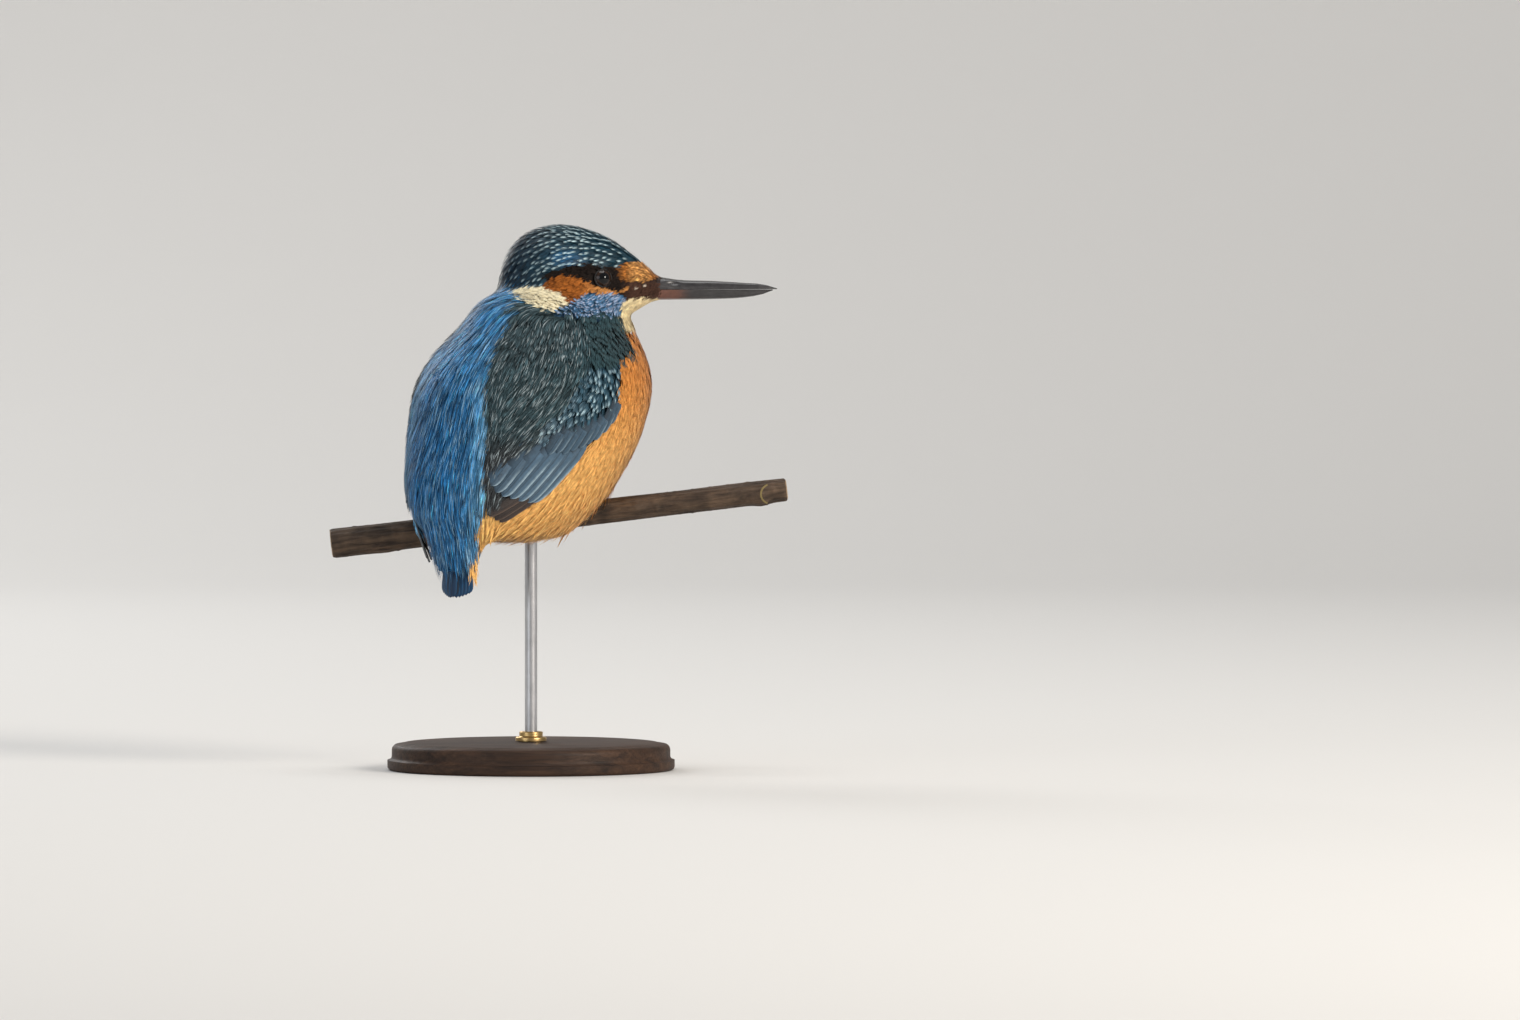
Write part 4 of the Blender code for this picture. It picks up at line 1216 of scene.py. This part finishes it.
# streak is (share of the barbs, colour, strength), tip (colour, strength), spots (colour, width, start)
coats = {
    "crown": {"zones": ("crown",), "rings": True, "spacing": 1.8, "length": 5.0, "width": 3.0, "barbs": 11,
              "barbWidth": 0.32, "material": "vane", "round": 0.35, "ragged": 0.03, "steps": 3, "vary": 0.06,
              "barbTone": 0.2, "spots": ((0.72, 0.95, 1.0), 0.27, 0.6)},
    "stripe": {"zones": ("eyeStripe",), "spacing": 0.7, "length": 2.2, "width": 1.2, "barbs": 6,
               "barbWidth": 0.2, "steps": 2, "joints": 2},
    "lores": {"zones": ("lore",), "spacing": 0.7, "length": 2.6, "width": 1.2, "barbs": 6, "barbWidth": 0.2,
              "steps": 2, "joints": 2, "stray": 0.16, "featherTone": 0.3,
              "streak": (0.42, (0.02, 0.010, 0.006), 1.0)},
    "ears": {"zones": ("ear",), "spacing": 0.85, "length": 3.6, "width": 1.8, "barbs": 8, "barbWidth": 0.22,
             "steps": 3, "ragged": 0.09, "stray": 0.1, "barbTone": 0.2},
    "cheeks": {"zones": ("malar",), "spacing": 0.9, "length": 3.2, "width": 1.9, "barbs": 9,
               "barbWidth": 0.22, "steps": 3, "stray": 0.12, "barbTone": 0.42, "spots": ((0.24, 0.40, 0.62),
               0.5, 0.6), "streak": (0.3, (0.66, 0.68, 0.84), 0.95)},
    "throat": {"zones": ("throat", "neckPatch"), "spacing": 0.75, "length": 3.8, "width": 1.9, "barbs": 8,
               "barbWidth": 0.26, "steps": 3, "ragged": 0.09, "stray": 0.1, "rootTone": 0.85,
               "barbTone": 0.08},
    "backRight": {**backFeathers, "side": -1},
    "backLeft": {**backFeathers, "side": 1},
    "breast": {"zones": ("under",), "above": 106.0, "rooted": 0.5, "spacing": 1.4, "length": 8.5,
               "width": 4.6, "barbs": 12, "barbWidth": 0.42, "ragged": 0.07, "barbTone": 0.10,
               "rootTone": 1.0, "featherTone": 0.05, "unruly": 0.07},
    "belly": {"zones": ("under",), "below": 106.0, "rooted": 0.5, "spacing": 1.4, "length": 9.0, "width": 4.6,
              "barbs": 12, "barbWidth": 0.42, "ragged": 0.12, "barbTone": 0.12, "lift": 0.3, "rootTone": 1.0,
              "featherTone": 0.05, "unruly": 0.10},
    "fringe": {"zones": ("under",), "below": 96.0, "spacing": 2.3, "length": 9.0, "width": 1.8, "barbs": 8,
               "barbWidth": 0.24, "ragged": 0.12, "barbTone": 0.18, "lift": 1.1, "rootTone": 0.9,
               "close": 0.85, "stray": 0.2, "round": 0.5, "free": 1, "tip": ((0.92, 0.62, 0.24), 0.6)},
    "spikes": {"zones": ("under",), "below": 90.0, "spacing": 1.8, "length": 6.8, "width": 1.7, "barbs": 6,
               "barbWidth": 0.40, "ragged": 0.14, "barbTone": 0.16, "lift": 0.9, "rootTone": 0.9,
               "close": 0.9, "stray": 0.16, "round": 0.6, "free": 1, "rooted": 0.4,
               "tip": ((0.95, 0.68, 0.28), 0.7)},
    "shoulders": {"zones": ("shoulder",), "spacing": 1.4, "length": 6.0, "width": 3.4, "barbs": 10,
                  "barbWidth": 0.34, "barbTone": 0.12, "featherTone": 0.06},
    "scapulars": {"zones": ("scapular",), "spacing": 1.7, "length": 9.0, "width": 4.6, "barbs": 12,
                  "barbWidth": 0.34, "ragged": 0.1, "barbTone": 0.35, "featherTone": 0.16, "unruly": 0.14,
                  "lift": 0.2, "streak": (0.2, (0.32, 0.38, 0.40), 0.85)},
    "coverts": {"zones": ("covert",), "spacing": 1.75, "length": 5.6, "width": 3.8, "barbs": 12,
                "barbWidth": 0.38, "material": "vane", "ragged": 0.02, "round": 0.5, "steps": 3,
                "barbTone": 0.18, "streak": (0.12, (0.24, 0.36, 0.45), 0.6), "spots": ((0.62, 0.86, 0.95),
                0.3, 0.6)},
}
bare = {  # where no tufts grow
    "bill": 43.0, "eye": 2.4, "tail": 66.6, "bib": 1.6, "behind": -11.0, "lowest": 67.0,
    "steep": (74.0, -0.84), "leftLowest": 69.5, "wingPoint": (84.0, 4.0, 1.5), "flank": (116.0, 1.15),
}


spotting = {
    "crown": {"least": 0.35, "along": (-6.0, 10.0), "vary": (0.75, 1.0), "share": 0.92},
    "cheeks": (0.0, 0.8),
    # bright at the wing's front, and in one row that slants up to it: start, slope, where, half its width
    "coverts": {"front": ((17.0, 22.0), (113.0, 117.0)), "row": (111.6, 0.36, 8.3, 2.4),
                "strengths": (0.85, 1.1), "share": 0.78, "vary": (0.6, 1.0)},
}


def spotStrength(name, points, rng):
    rule, count = spotting[name], len(points)
    if name == "cheeks":
        return rng.uniform(*rule, count)
    if name == "crown":
        bright = rule["least"] + (1 - rule["least"]) * smoothstep(*rule["along"], points[:, 0])
        return bright * rng.uniform(*rule["vary"], count) * (rng.random(count) < rule["share"])
    along, height = wingView(points)
    ahead, above = rule["front"]
    start, slope, at, wide = rule["row"]
    bright = rule["strengths"][0] * smoothstep(*ahead, along) * smoothstep(*above, height)
    bright = bright + rule["strengths"][1] * bell(height - start - slope * (along - at), wide)
    chosen = rng.random(count) < rule["share"]
    return np.clip(bright, 0, 1) * chosen * rng.uniform(*rule["vary"], count)


def featherZones(points, style, rng=None):
    # a feather belongs where its uncovered end comes to lie
    places, normals = onSurface(points)
    seen = places + lieOf(places, normals) * (style["length"] * 0.72)
    zones = zonesOf(seen, rng)
    under = zones == "under"
    x, z, left, end = points[:, 0], points[:, 2], bodyFrame(points)[1], seen[:, 2]
    keep = np.isin(zones, style["zones"]) & ~inSlot(points) & (x < bare["bill"])
    keep &= (z > style["above"]) & (z <= style["below"])
    if style["side"]:
        keep &= np.sign(left) == style["side"]
    keep &= ~((fromEye(points)[0] < bare["eye"]) & onHead(points))
    keep &= ~((end < bare["tail"]) & (zones == "back"))
    keep &= ~(under & insideOutline(patches["throat"], x, z - bare["bib"]))
    steep, fall = bare["steep"]
    sideways = (z < steep) & (unit(seen - points)[:, 2] > fall) | (z < bare["lowest"])
    sideways |= (left > 0) & (end < bare["leftLowest"])
    keep &= ~(under & (behindWing(seen) | (x < bare["behind"]) & sideways))
    low, out, near = bare["wingPoint"]
    keep[nearWing(points, (z < low) & (left > out), near)] = False
    if rng is not None:  # nor where the long feathers lie over the flank
        top, near = bare["flank"]
        flank = np.flatnonzero(keep & under & (end < top))
        onLeft = bodyFrame(seen[flank])[1] > 0
        reach = np.array([laid[int(on)].find_nearest(p)[3] for p, on in zip(seen[flank].tolist(), onLeft)])
        keep[flank[reach < near]] = False
    return keep, zones, seen


for name, own in coats.items():
    style = {**tuft, **own}
    make = ringRoots if "rings" in style else scatterRoots
    roots, rng = make(style["spacing"], lambda middle: featherZones(middle, style)[0], len(name) * 7 + 3)
    keep, zones, seen = featherZones(roots, style, rng)
    roots, zones, seen = roots[keep], zones[keep], seen[keep]
    spots = spotStrength(name, seen, rng) if style["spots"] else np.zeros(len(seen))
    coat = growFeathers(name + "Coat", roots, rng, style, markings(seen, zones), spots)
    finishPiece(coat, materials[style["material"]], "plumage")

bill = {
    "around": 30, "rings": 90, "bunch": 1.25,  # rings stand closer near the tip
    "culmen": (0.16, 0.16, 1.5), "groove": (0.16, 0.42, 0.16), "grooveAlong": ((40.0, 47.0), (76.0, 62.0)),
    "square": (0.86, 0.82), "lip": (0.06, 0.10), "gapeUpper": 153.78, "gapeLower": 153.66, "smooth": 50,
    "nostril": {"at": (45.6, 1.9), "size": (1.9, 0.55), "deep": 0.45},
    "dark": (0.010, 0.009, 0.010), "light": (0.035, 0.032, 0.034), "base": (0.105, 0.036, 0.020),
    "baseEnds": (0.0455, 0.0520),  # in metres
}
eye = {
    "radius": 3.3, "bulge": (0.22, 0.55), "axis": (0.30, 0.94, 0.10), "segments": (64, 40),
    "lid": {"radius": 2.72, "thick": 0.28, "out": 1.95, "flat": 0.8, "segments": (72, 16), "ripple": 0.006,
            "seed": 3},
    "pupil": (0.0012, 0.0012, 0.0015), "iris": (0.022, 0.010, 0.005), "rim": (0.004, 0.003, 0.0025),
}
foot = {"voxel": 0.26, "soften": 3, "scales": 0.045, "toeScales": 34.0, "legScales": 5.5, "legAbove": 7.5}
claw = {"rings": 14, "sides": 14, "seated": 0.22, "ends": 0.12, "narrow": 0.82, "tip": 0.0004}


def ringsOf(nodeName):
    points = verticesOf(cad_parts[nodeName])
    rows = []
    for x in np.unique(points[:, 0].round(2)):
        ring = points[abs(points[:, 0] - x) < 0.02]
        if len(ring) > 4:
            rows.append((x, np.ptp(ring[:, 1]) / 2, ring[:, 2].min(), ring[:, 2].max()))
    return np.array(rows).T


def billHalf(name, nodeName, upper):
    at, *edges = ringsOf(nodeName)
    x = at[0] + (at[-1] - at[0]) * (1 - (1 - np.linspace(0, 1, bill["rings"])) ** bill["bunch"])
    half, low, high = (np.interp(x, at, edge)[:, None] for edge in edges)
    if upper:
        low = np.minimum(bill["gapeUpper"], high - 0.1)
    else:
        high = np.maximum(bill["gapeLower"], low + 0.1)
    deep = high - low
    turn = np.linspace(0, math.pi, bill["around"])
    across, rise = np.cos(turn), np.sin(turn)
    strength, height, wide = bill["groove"]
    first, last = bill["grooveAlong"]
    channel = strength * (smoothstep(*first, x) * smoothstep(*last, x))[:, None]
    out = half * np.sign(across) * abs(across) ** bill["square"][0]
    out = out * (1 - channel * bell(rise - height, wide) / np.maximum(half, 0.3))
    ridge, wide, full = bill["culmen"]
    crest = ridge * bell(turn - math.pi / 2, wide) * np.minimum(1.0, deep / full)
    up = np.clip(deep * rise ** bill["square"][1] - 0.5 * ridge * (rise > 0.9) + crest * 0.5, 0, deep)
    if upper:
        nostril = bill["nostril"]
        away = ((x[:, None] - nostril["at"][0]) / nostril["size"][0]) ** 2
        away = away + ((up - nostril["at"][1]) / nostril["size"][1]) ** 2
        out = out - np.sign(across) * nostril["deep"] * np.exp(-(away**1.5)) * (abs(across) > 0.3)
    lip, wide = bill["lip"]
    out = out + np.sign(across) * lip * bell(up / np.maximum(deep, 0.2), wide) * np.minimum(1.0, half)
    z = low + up if upper else high - up
    points = np.stack([np.broadcast_to(x[:, None], out.shape), head["side"] + out, z], axis=-1)
    made = meshPiece(name, points.reshape(-1, 3), tubeFaces(*out.shape))
    faceOutwards(made)
    bpy.ops.object.shade_smooth_by_angle(angle=math.radians(bill["smooth"]))
    return made


def hornMaterial(name, dark, light, base=None):
    made, tree, shader, where = startMaterial(
        name, {"Coat Weight": 0.35, "Coat Roughness": 0.22, "Specular IOR Level": 0.5})
    lines = placed(tree, "grain", {"Vector": where, "Stretch": (0.22, 3.0, 3.0), "Scale": 420.0, "Dark": dark,
                                   "Light": light, "Twist": 0.2})
    colour = lines["Color"]
    if base:  # the lower half is reddish brown near the face
        along = node(tree, "ShaderNodeSeparateXYZ", {0: where})[0]
        colour = mixed(tree, ranged(tree, along, *bill["baseEnds"], 1.0, 0.0, "SMOOTHSTEP"), colour, base)
    worn = placed(tree, "speckle", {"Vector": where, "Color": colour, "Scale": 700.0, "Amount": 0.3})
    dress(tree, shader, worn["Color"], (worn["Value"], 0.26, 0.5), (lines["Value"], 0.25, 0.00008))
    return made


def skinMaterial(name, dark, light, scale, rough):
    # bare scaly skin: feet and the rims of the eyes
    made, tree, shader, where = startMaterial(
        name, {"Coat Weight": 0.15, "Coat Roughness": 0.35, "Specular IOR Level": 0.45})
    cells = node(tree, "ShaderNodeTexVoronoi", {"Vector": where, "Scale": scale}, feature="DISTANCE_TO_EDGE")
    edge = ranged(tree, cells["Distance"], 0.0, 0.22)
    worn = placed(tree, "speckle", {"Vector": where, "Color": mixed(tree, edge, dark, light), "Scale": scale
                                    * 1.6, "Amount": 0.25})
    dress(tree, shader, worn["Color"], (edge, rough + 0.15, rough), (edge, 0.7, 0.00012))
    return made


def eyeMaterial():
    made, tree, shader, where = startMaterial(
        "eyeGlass", {"Coat Weight": 0.3, "Coat Roughness": 0.03, "Specular IOR Level": 0.2})
    reach = node(tree, "ShaderNodeAttribute", {}, attribute_name="iris")["Fac"]
    flecks = placed(tree, "speckle", {"Vector": where, "Color": eye["iris"], "Scale": 1500.0, "Amount": 0.7})
    inner = mixed(tree, ranged(tree, reach, 0.50, 0.56), eye["pupil"], flecks["Color"])
    colour = mixed(tree, ranged(tree, reach, 0.80, 0.90), inner, eye["rim"])
    dress(tree, shader, colour, (flecks["Value"], 0.04, 0.12), None)
    return made


def buildEye(side):
    low, high = (np.array(corner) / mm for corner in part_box("eye_" + side))
    forward, left, up = eye["axis"]
    axis = Vector((forward, left if side == "left" else -left, up)).normalized()
    spin = np.array(Vector((0, 0, 1)).rotation_difference(axis).to_matrix()).T
    deselectAll()
    segments, rings = eye["segments"]
    bpy.ops.mesh.primitive_uv_sphere_add(segments=segments, ring_count=rings, radius=eye["radius"] * mm)
    ball = bpy.context.object
    ball.name = "eye" + side.capitalize()
    bpy.ops.object.shade_smooth()
    co = verticesOf(ball)
    reach, front = np.hypot(co[:, 0], co[:, 1]) / eye["radius"], co[:, 2] > 0
    bulge, wide = eye["bulge"]  # the clear front stands out a little
    co[:, 2] += np.where(front, bulge * bell(reach, wide), 0.0)
    tone = ball.data.attributes.new("iris", "FLOAT", "POINT")
    tone.data.foreach_set("value", np.where(front, reach, 1.0).astype(np.float32))
    moveVertices(ball, co @ spin + (low + high) / 2)
    finishPiece(ball, materials["eye"], "eye", "eye_" + side)
    own = eye["lid"]
    segments, rings = own["segments"]
    bpy.ops.mesh.primitive_torus_add(major_segments=segments, minor_segments=rings,
                                     major_radius=own["radius"] * mm, minor_radius=own["thick"] * mm)
    lid = bpy.context.object
    lid.name = "lid" + side.capitalize()
    co = verticesOf(lid)
    around = np.arctan2(co[:, 1], co[:, 0]) / (2 * math.pi) % 1 * segments
    ripples = np.random.default_rng(own["seed"]).normal(0, own["ripple"], segments)
    co[:, :2] *= 1 + ripples[around.astype(int) % segments, None]
    co[:, 2] = co[:, 2] * own["flat"] + own["out"]
    moveVertices(lid, co @ spin + (low + high) / 2)
    modify(lid, "soften", "SMOOTH", iterations=2)
    applyAll(lid)
    bpy.ops.object.shade_smooth()
    finishPiece(lid, materials["lid"], "eye")


def refined(name, nodeName, voxel, times):
    made = copyOfNodes(name, [nodeName])
    remeshed(made, voxel, times)
    bpy.ops.object.shade_smooth()
    return made, verticesOf(made)


def pushOut(thing, co, amounts):
    moveVertices(thing, co + normalsOf(thing) * amounts[:, None])


def buildFoot(side):
    made, co = refined("foot" + side.capitalize(), "foot_" + side, foot["voxel"], foot["soften"])
    around = np.arctan2(co[:, 1], aboveBranch(co)) * foot["toeScales"]  # low rings round each toe and leg
    leg = co[:, 2] - branch["height"] >= foot["legAbove"]
    pushOut(made, co, foot["scales"] * np.sin(np.where(leg, co[:, 2] * foot["legScales"], around)))
    finishPiece(made, materials["foot"], "feet", "foot_" + side)


def buildClaw(side, toe):
    # a curved horn that tapers to a point, along the middle of its solid
    nodeName = f"claw_{side}_{toe}"
    solid = verticesOf(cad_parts[nodeName])
    x = solid[:, 0].mean()
    centre = branch["height"] + branch["slope"] * x
    turn = np.unwrap(np.arctan2(solid[:, 1], solid[:, 2] - centre))
    if solid[:, 1].mean() > 0:
        turn = np.where(turn < -1.2, turn + 2 * math.pi, turn)
    reach = np.hypot(solid[:, 1], solid[:, 2] - centre)
    first, last = turn.min(), turn.max()
    base, point = (reach[abs(turn - end) < claw["ends"]] for end in (first, last))
    if np.ptp(base) < np.ptp(point):
        first, last, base, point = last, first, point, base
    rings, sides = claw["rings"], claw["sides"]
    t = np.linspace(0, 1, rings)
    first -= (last - first) * claw["seated"]
    angle = first + (last - first) * t
    start = (base.min() + base.max()) / 2
    out = start + (point.mean() - start) * t**1.6
    thick = np.ptp(base) / 2 * np.sqrt(np.clip(1 - t**1.3, claw["tip"], 1)) * (0.94 + 0.06 * np.cos(t * 9.0))
    outward = np.stack([np.zeros(rings), np.sin(angle), np.cos(angle)], axis=1)[:, None]
    roll = np.linspace(0, 2 * math.pi, sides, endpoint=False)[:, None]
    ring = np.cos(roll) * np.array([claw["narrow"], 0.0, 0.0]) + np.sin(roll) * outward
    points = outward * out[:, None, None] + np.array([x, 0.0, centre]) + thick[:, None, None] * ring
    made = meshPiece("claw" + side.capitalize() + toe.capitalize(), points.reshape(-1, 3),
                     tubeFaces(rings, sides))
    faceOutwards(made)
    finishPiece(made, materials["claw"], "claws", nodeName)


materials["billUpper"] = hornMaterial("billHornUpper", bill["dark"], bill["light"])
materials["billLower"] = hornMaterial("billHornLower", bill["dark"], bill["light"], bill["base"])
materials["claw"] = hornMaterial("clawHorn", (0.008, 0.007, 0.007), (0.04, 0.03, 0.026))
materials["lid"] = skinMaterial("lidSkin", (0.003, 0.002, 0.002), (0.008, 0.006, 0.005), 5200.0, 0.6)
materials["foot"] = skinMaterial("footSkin", (0.27, 0.034, 0.014), (0.50, 0.080, 0.032), 3100.0, 0.42)
materials["eye"] = eyeMaterial()

for name, nodeName in (("billUpper", "bill_upper"), ("billLower", "bill_lower")):
    finishPiece(billHalf(name, nodeName, name == "billUpper"), materials[name], "bill", nodeName)
for side in ("left", "right"):
    buildEye(side)
    buildFoot(side)
    for toe in ("inner", "middle", "outer", "hind"):
        buildClaw(side, toe)
print("bill, eyes, feet and claws ready")

perch = {
    "voxel": 0.62, "soften": 3, "seed": 9,
    "held": (18.5, 22.0), "heldShare": 0.15,  # smoother where the toes hold it
    "ridges": (7, 0.352), "pores": {"count": 46, "along": (-62, 80), "height": 0.30, "size": (0.5, 4.2)},
    # the crescent left by a bud: (along X, height, radius), how far it stands out, and how wide it is
    "scar": {"at": (76.7, 88.4, 3.1), "raised": 0.4, "wide": 0.5, "line": 0.28, "cutOff": 1.0,
             "colour": (0.20, 0.15, 0.055)},
    "dark": (0.017, 0.011, 0.008), "light": (0.105, 0.066, 0.040), "ends": (0.6, 0.30),
    "cut": ((0.25, 0.170, 0.100), (0.36, 0.255, 0.160)),
}


def buildPerch():
    wood, co = refined("perchBranch", "perch", perch["voxel"], perch["soften"])
    x, y, z = co.T
    lean = math.atan(branch["slope"])
    along = x * math.cos(lean) + (z - branch["height"]) * math.sin(lean)
    up = -x * math.sin(lean) + (z - branch["height"]) * math.cos(lean)
    turn = np.arctan2(up, y)
    rng = np.random.default_rng(perch["seed"])
    amounts = np.zeros(len(co))
    waves, deep = perch["ridges"]
    for wave in range(waves):  # shallow ridges along the bark
        many, slow, start = rng.integers(4, 17), rng.uniform(0.02, 0.09), rng.uniform(0, 6.3)
        bend = 0.8 * np.sin(along * 0.11 + wave)
        amounts += np.sin(turn * many + along * slow + start + bend) / waves * deep
    pores = perch["pores"]
    for _ in range(pores["count"]):  # small and raised
        at, facing = rng.uniform(*pores["along"]), rng.uniform(-math.pi, math.pi)
        gap = ((turn - facing + math.pi) % (2 * math.pi) - math.pi) * pores["size"][1]
        amounts += pores["height"] * bell(along - at, pores["size"][0]) * bell(gap, 1.0)
    scar = perch["scar"]
    scarX, scarZ, radius = scar["at"]
    onScar = (y < 0) & (x < scarX - scar["cutOff"])
    amounts += scar["raised"] * bell(np.hypot(x - scarX, z - scarZ) - radius, scar["wide"]) * onScar
    end = perch["ends"][0]
    amounts[(along > along.max() - end) | (along < along.min() + end)] = 0.0
    held = perch["heldShare"]
    pushOut(wood, co, amounts * (held + (1 - held) * smoothstep(*perch["held"], abs(x))))
    finishPiece(wood, barkMaterial(lean, along.min() * mm, along.max() * mm), "bark", "perch")


def barkMaterial(lean, low, high):
    made, tree, shader, where = startMaterial("branchBark", {"Specular IOR Level": 0.3})
    middle = (0.0, 0.0, -branch["height"] * mm)
    centred = node(tree, "ShaderNodeMapping", {"Vector": where, "Location": middle})[0]
    level = node(tree, "ShaderNodeMapping", {"Vector": centred, "Rotation": (0.0, lean, 0.0)})[0]
    lines = placed(tree, "grain", {"Vector": level, "Stretch": (0.14, 1.0, 1.0), "Scale": 520.0,
                                   "Dark": perch["dark"], "Light": perch["light"], "Twist": 0.5})
    patchy = placed(tree, "speckle", {"Vector": where, "Color": lines["Color"], "Scale": 140.0,
                                      "Amount": 0.5})
    rings = node(tree, "ShaderNodeTexWave", {"Vector": level, "Scale": 280.0, "Distortion": 1.6,
                                             "Detail": 2.0, "Detail Scale": 2.0}, wave_type="RINGS",
                                             rings_direction="X")["Fac"]
    worn = placed(tree, "speckle", {"Vector": where, "Color": mixed(tree, rings, *perch["cut"]),
                                    "Scale": 600.0, "Amount": 0.3})
    x, y = node(tree, "ShaderNodeSeparateXYZ", {0: where})[:2]
    scar = perch["scar"]
    scarX, scarZ, radius = (value * mm for value in scar["at"])
    flat = node(tree, "ShaderNodeMapping", {"Vector": where, "Location": (-scarX, 0.0, -scarZ),
                                            "Scale": (1.0, 0.0, 1.0)})[0]
    away = node(tree, "ShaderNodeVectorMath", {0: flat}, operation="LENGTH")["Value"]
    front, before = maths(tree, "LESS_THAN", y, 0.0), maths(tree, "LESS_THAN", x, scarX - scar["cutOff"] * mm)
    onLine = maths(tree, "COMPARE", away, radius, scar["line"] * mm)
    scarred = maths(tree, "MULTIPLY", onLine, maths(tree, "MULTIPLY", front, before))
    bark = mixed(tree, scarred, patchy["Color"], scar["colour"])
    # the sawn ends lie past two places along the branch
    along = node(tree, "ShaderNodeSeparateXYZ", {0: level})[0]
    out = maths(tree, "ABSOLUTE", maths(tree, "SUBTRACT", along, (low + high) / 2))
    sawn = maths(tree, "GREATER_THAN", out, (high - low) / 2 - perch["ends"][1] * mm)
    dress(tree, shader, mixed(tree, sawn, bark, worn["Color"]), (lines["Value"], 0.78, 0.5),
          (lines["Value"], 0.8, 0.0003))
    return made


# corners are (radius, height), arcs (radius, height, bend, first and last degree, points)
stand = {
    "base": ((0.0, 0.0), (44.8, 1.2, 1.2, -90, 0, 5), (46.0, 3.2), (46.0, 4.6, 1.4, -90, -180, 7),
             (42.6, 6.4, 2.0, 0, 62, 7), (41.8, 8.38), (40.6, 8.72), (38.5, 8.90), (20.0, 9.0), (0.0, 9.0)),
    "rod": {"radius": 2.0, "bevel": 0.4}, "segments": {"base": 144, "rod": 48, "collar": 96}, "smooth": 32,
    "dark": (0.020, 0.010, 0.006), "light": (0.085, 0.042, 0.022),
    "poreDark": (0.35, 0.35, 0.35), "poreLight": (1.0, 1.0, 1.0), "poreShare": 0.6,
    "steel": ((0.42, 0.42, 0.43), (0.66, 0.66, 0.67), (1.0, 1.0, 0.02)),
    "brass": ((0.42, 0.27, 0.10), (0.72, 0.50, 0.22), (1.0, 1.0, 1.0)),
}


def outlineOf(parts):
    corners = []
    for radius, height, *bend in parts:
        if bend:
            size, first, last, count = bend
            turns = np.radians(np.linspace(first, last, count))
            corners += [(radius + size * math.cos(turn), height + size * math.sin(turn)) for turn in turns]
        else:
            corners.append((radius, height))
    return corners


def turnedPiece(name, parts, segments):
    # the outline is drawn as an edge and spun round
    deselectAll()
    bpy.ops.mesh.primitive_plane_add(size=0.001)
    made = bpy.context.object
    made.name = name
    work = bmesh.new()
    corners = [work.verts.new((radius * mm, 0.0, height * mm)) for radius, height in outlineOf(parts)]
    for pair in zip(corners, corners[1:]):
        work.edges.new(pair)
    work.to_mesh(made.data)
    work.free()
    editAll(made)
    bpy.ops.mesh.spin(steps=segments, angle=2 * math.pi, center=(0, 0, 0), axis=(0, 0, 1))
    bpy.ops.mesh.select_all(action="SELECT")
    bpy.ops.mesh.remove_doubles(threshold=0.000002)
    faceOutwards(made)
    bpy.ops.object.shade_smooth_by_angle(angle=math.radians(stand["smooth"]))
    return made


def woodMaterial():
    made, tree, shader, where = startMaterial(
        "standWood", {"Coat Weight": 0.06, "Coat Roughness": 0.45, "Specular IOR Level": 0.25})
    lines = placed(tree, "grain", {"Vector": where, "Stretch": (0.10, 1.0, 1.6), "Scale": 190.0,
                                   "Dark": stand["dark"], "Light": stand["light"], "Twist": 0.9})
    pores = placed(tree, "grain", {"Vector": where, "Stretch": (0.06, 1.0, 1.0), "Scale": 1500.0,
                                   "Dark": stand["poreDark"], "Light": stand["poreLight"], "Twist": 0.1})
    stained = mixed(tree, stand["poreShare"], lines["Color"], pores["Color"], "MULTIPLY")
    worn = placed(tree, "speckle", {"Vector": where, "Color": stained, "Scale": 45.0, "Amount": 0.2})
    dress(tree, shader, worn["Color"], (pores["Value"], 0.68, 0.52), (pores["Value"], 0.25, 0.00008))
    return made


def metalMaterial(name, dark, light, stretch):
    made, tree, shader, where = startMaterial(name, {"Metallic": 1.0, "Specular IOR Level": 0.5})
    lines = placed(tree, "grain", {"Vector": where, "Stretch": stretch, "Scale": 2600.0, "Dark": dark,
                                   "Light": light, "Twist": 0.1})
    dull = placed(tree, "speckle", {"Vector": where, "Color": lines["Color"], "Scale": 160.0, "Amount": 0.12})
    dress(tree, shader, dull["Color"], (dull["Value"], 0.22, 0.42), (lines["Value"], 0.15, 0.00003))
    return made


def buildStand():
    segments = stand["segments"]
    base = turnedPiece("standBase", stand["base"], segments["base"])
    finishPiece(base, woodMaterial(), "stand_wood", "stand_base")
    low, high = (corner[2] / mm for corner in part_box("stand_rod"))
    radius, bevel = stand["rod"]["radius"], stand["rod"]["bevel"]
    rod = turnedPiece("standRod", ((0.0, low), (radius, low), (radius, high - bevel), (radius - bevel, high),
                                   (0.0, high)), segments["rod"])
    finishPiece(rod, metalMaterial("drawnSteel", *stand["steel"]), "stand_metal", "stand_rod")
    low, high = (corner[2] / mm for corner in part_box("stand_ferrule"))
    collar = ((2.12, low), (5.0, low), (4.6, low + 0.9, 0.4, 0, 90, 4), (4.1, low + 1.4),
              (4.1, low + 1.75, 0.35, -90, -180, 4), (3.35, high - 0.45, 0.45, 0, 90, 5), (2.12, high),
              (2.12, low))
    ferrule = turnedPiece("standFerrule", collar, segments["collar"])
    finishPiece(ferrule, metalMaterial("turnedBrass", *stand["brass"]), "stand_metal", "stand_ferrule")


buildPerch()
buildStand()
print("perch and stand ready")

bpy.data.objects.remove(coatShape)
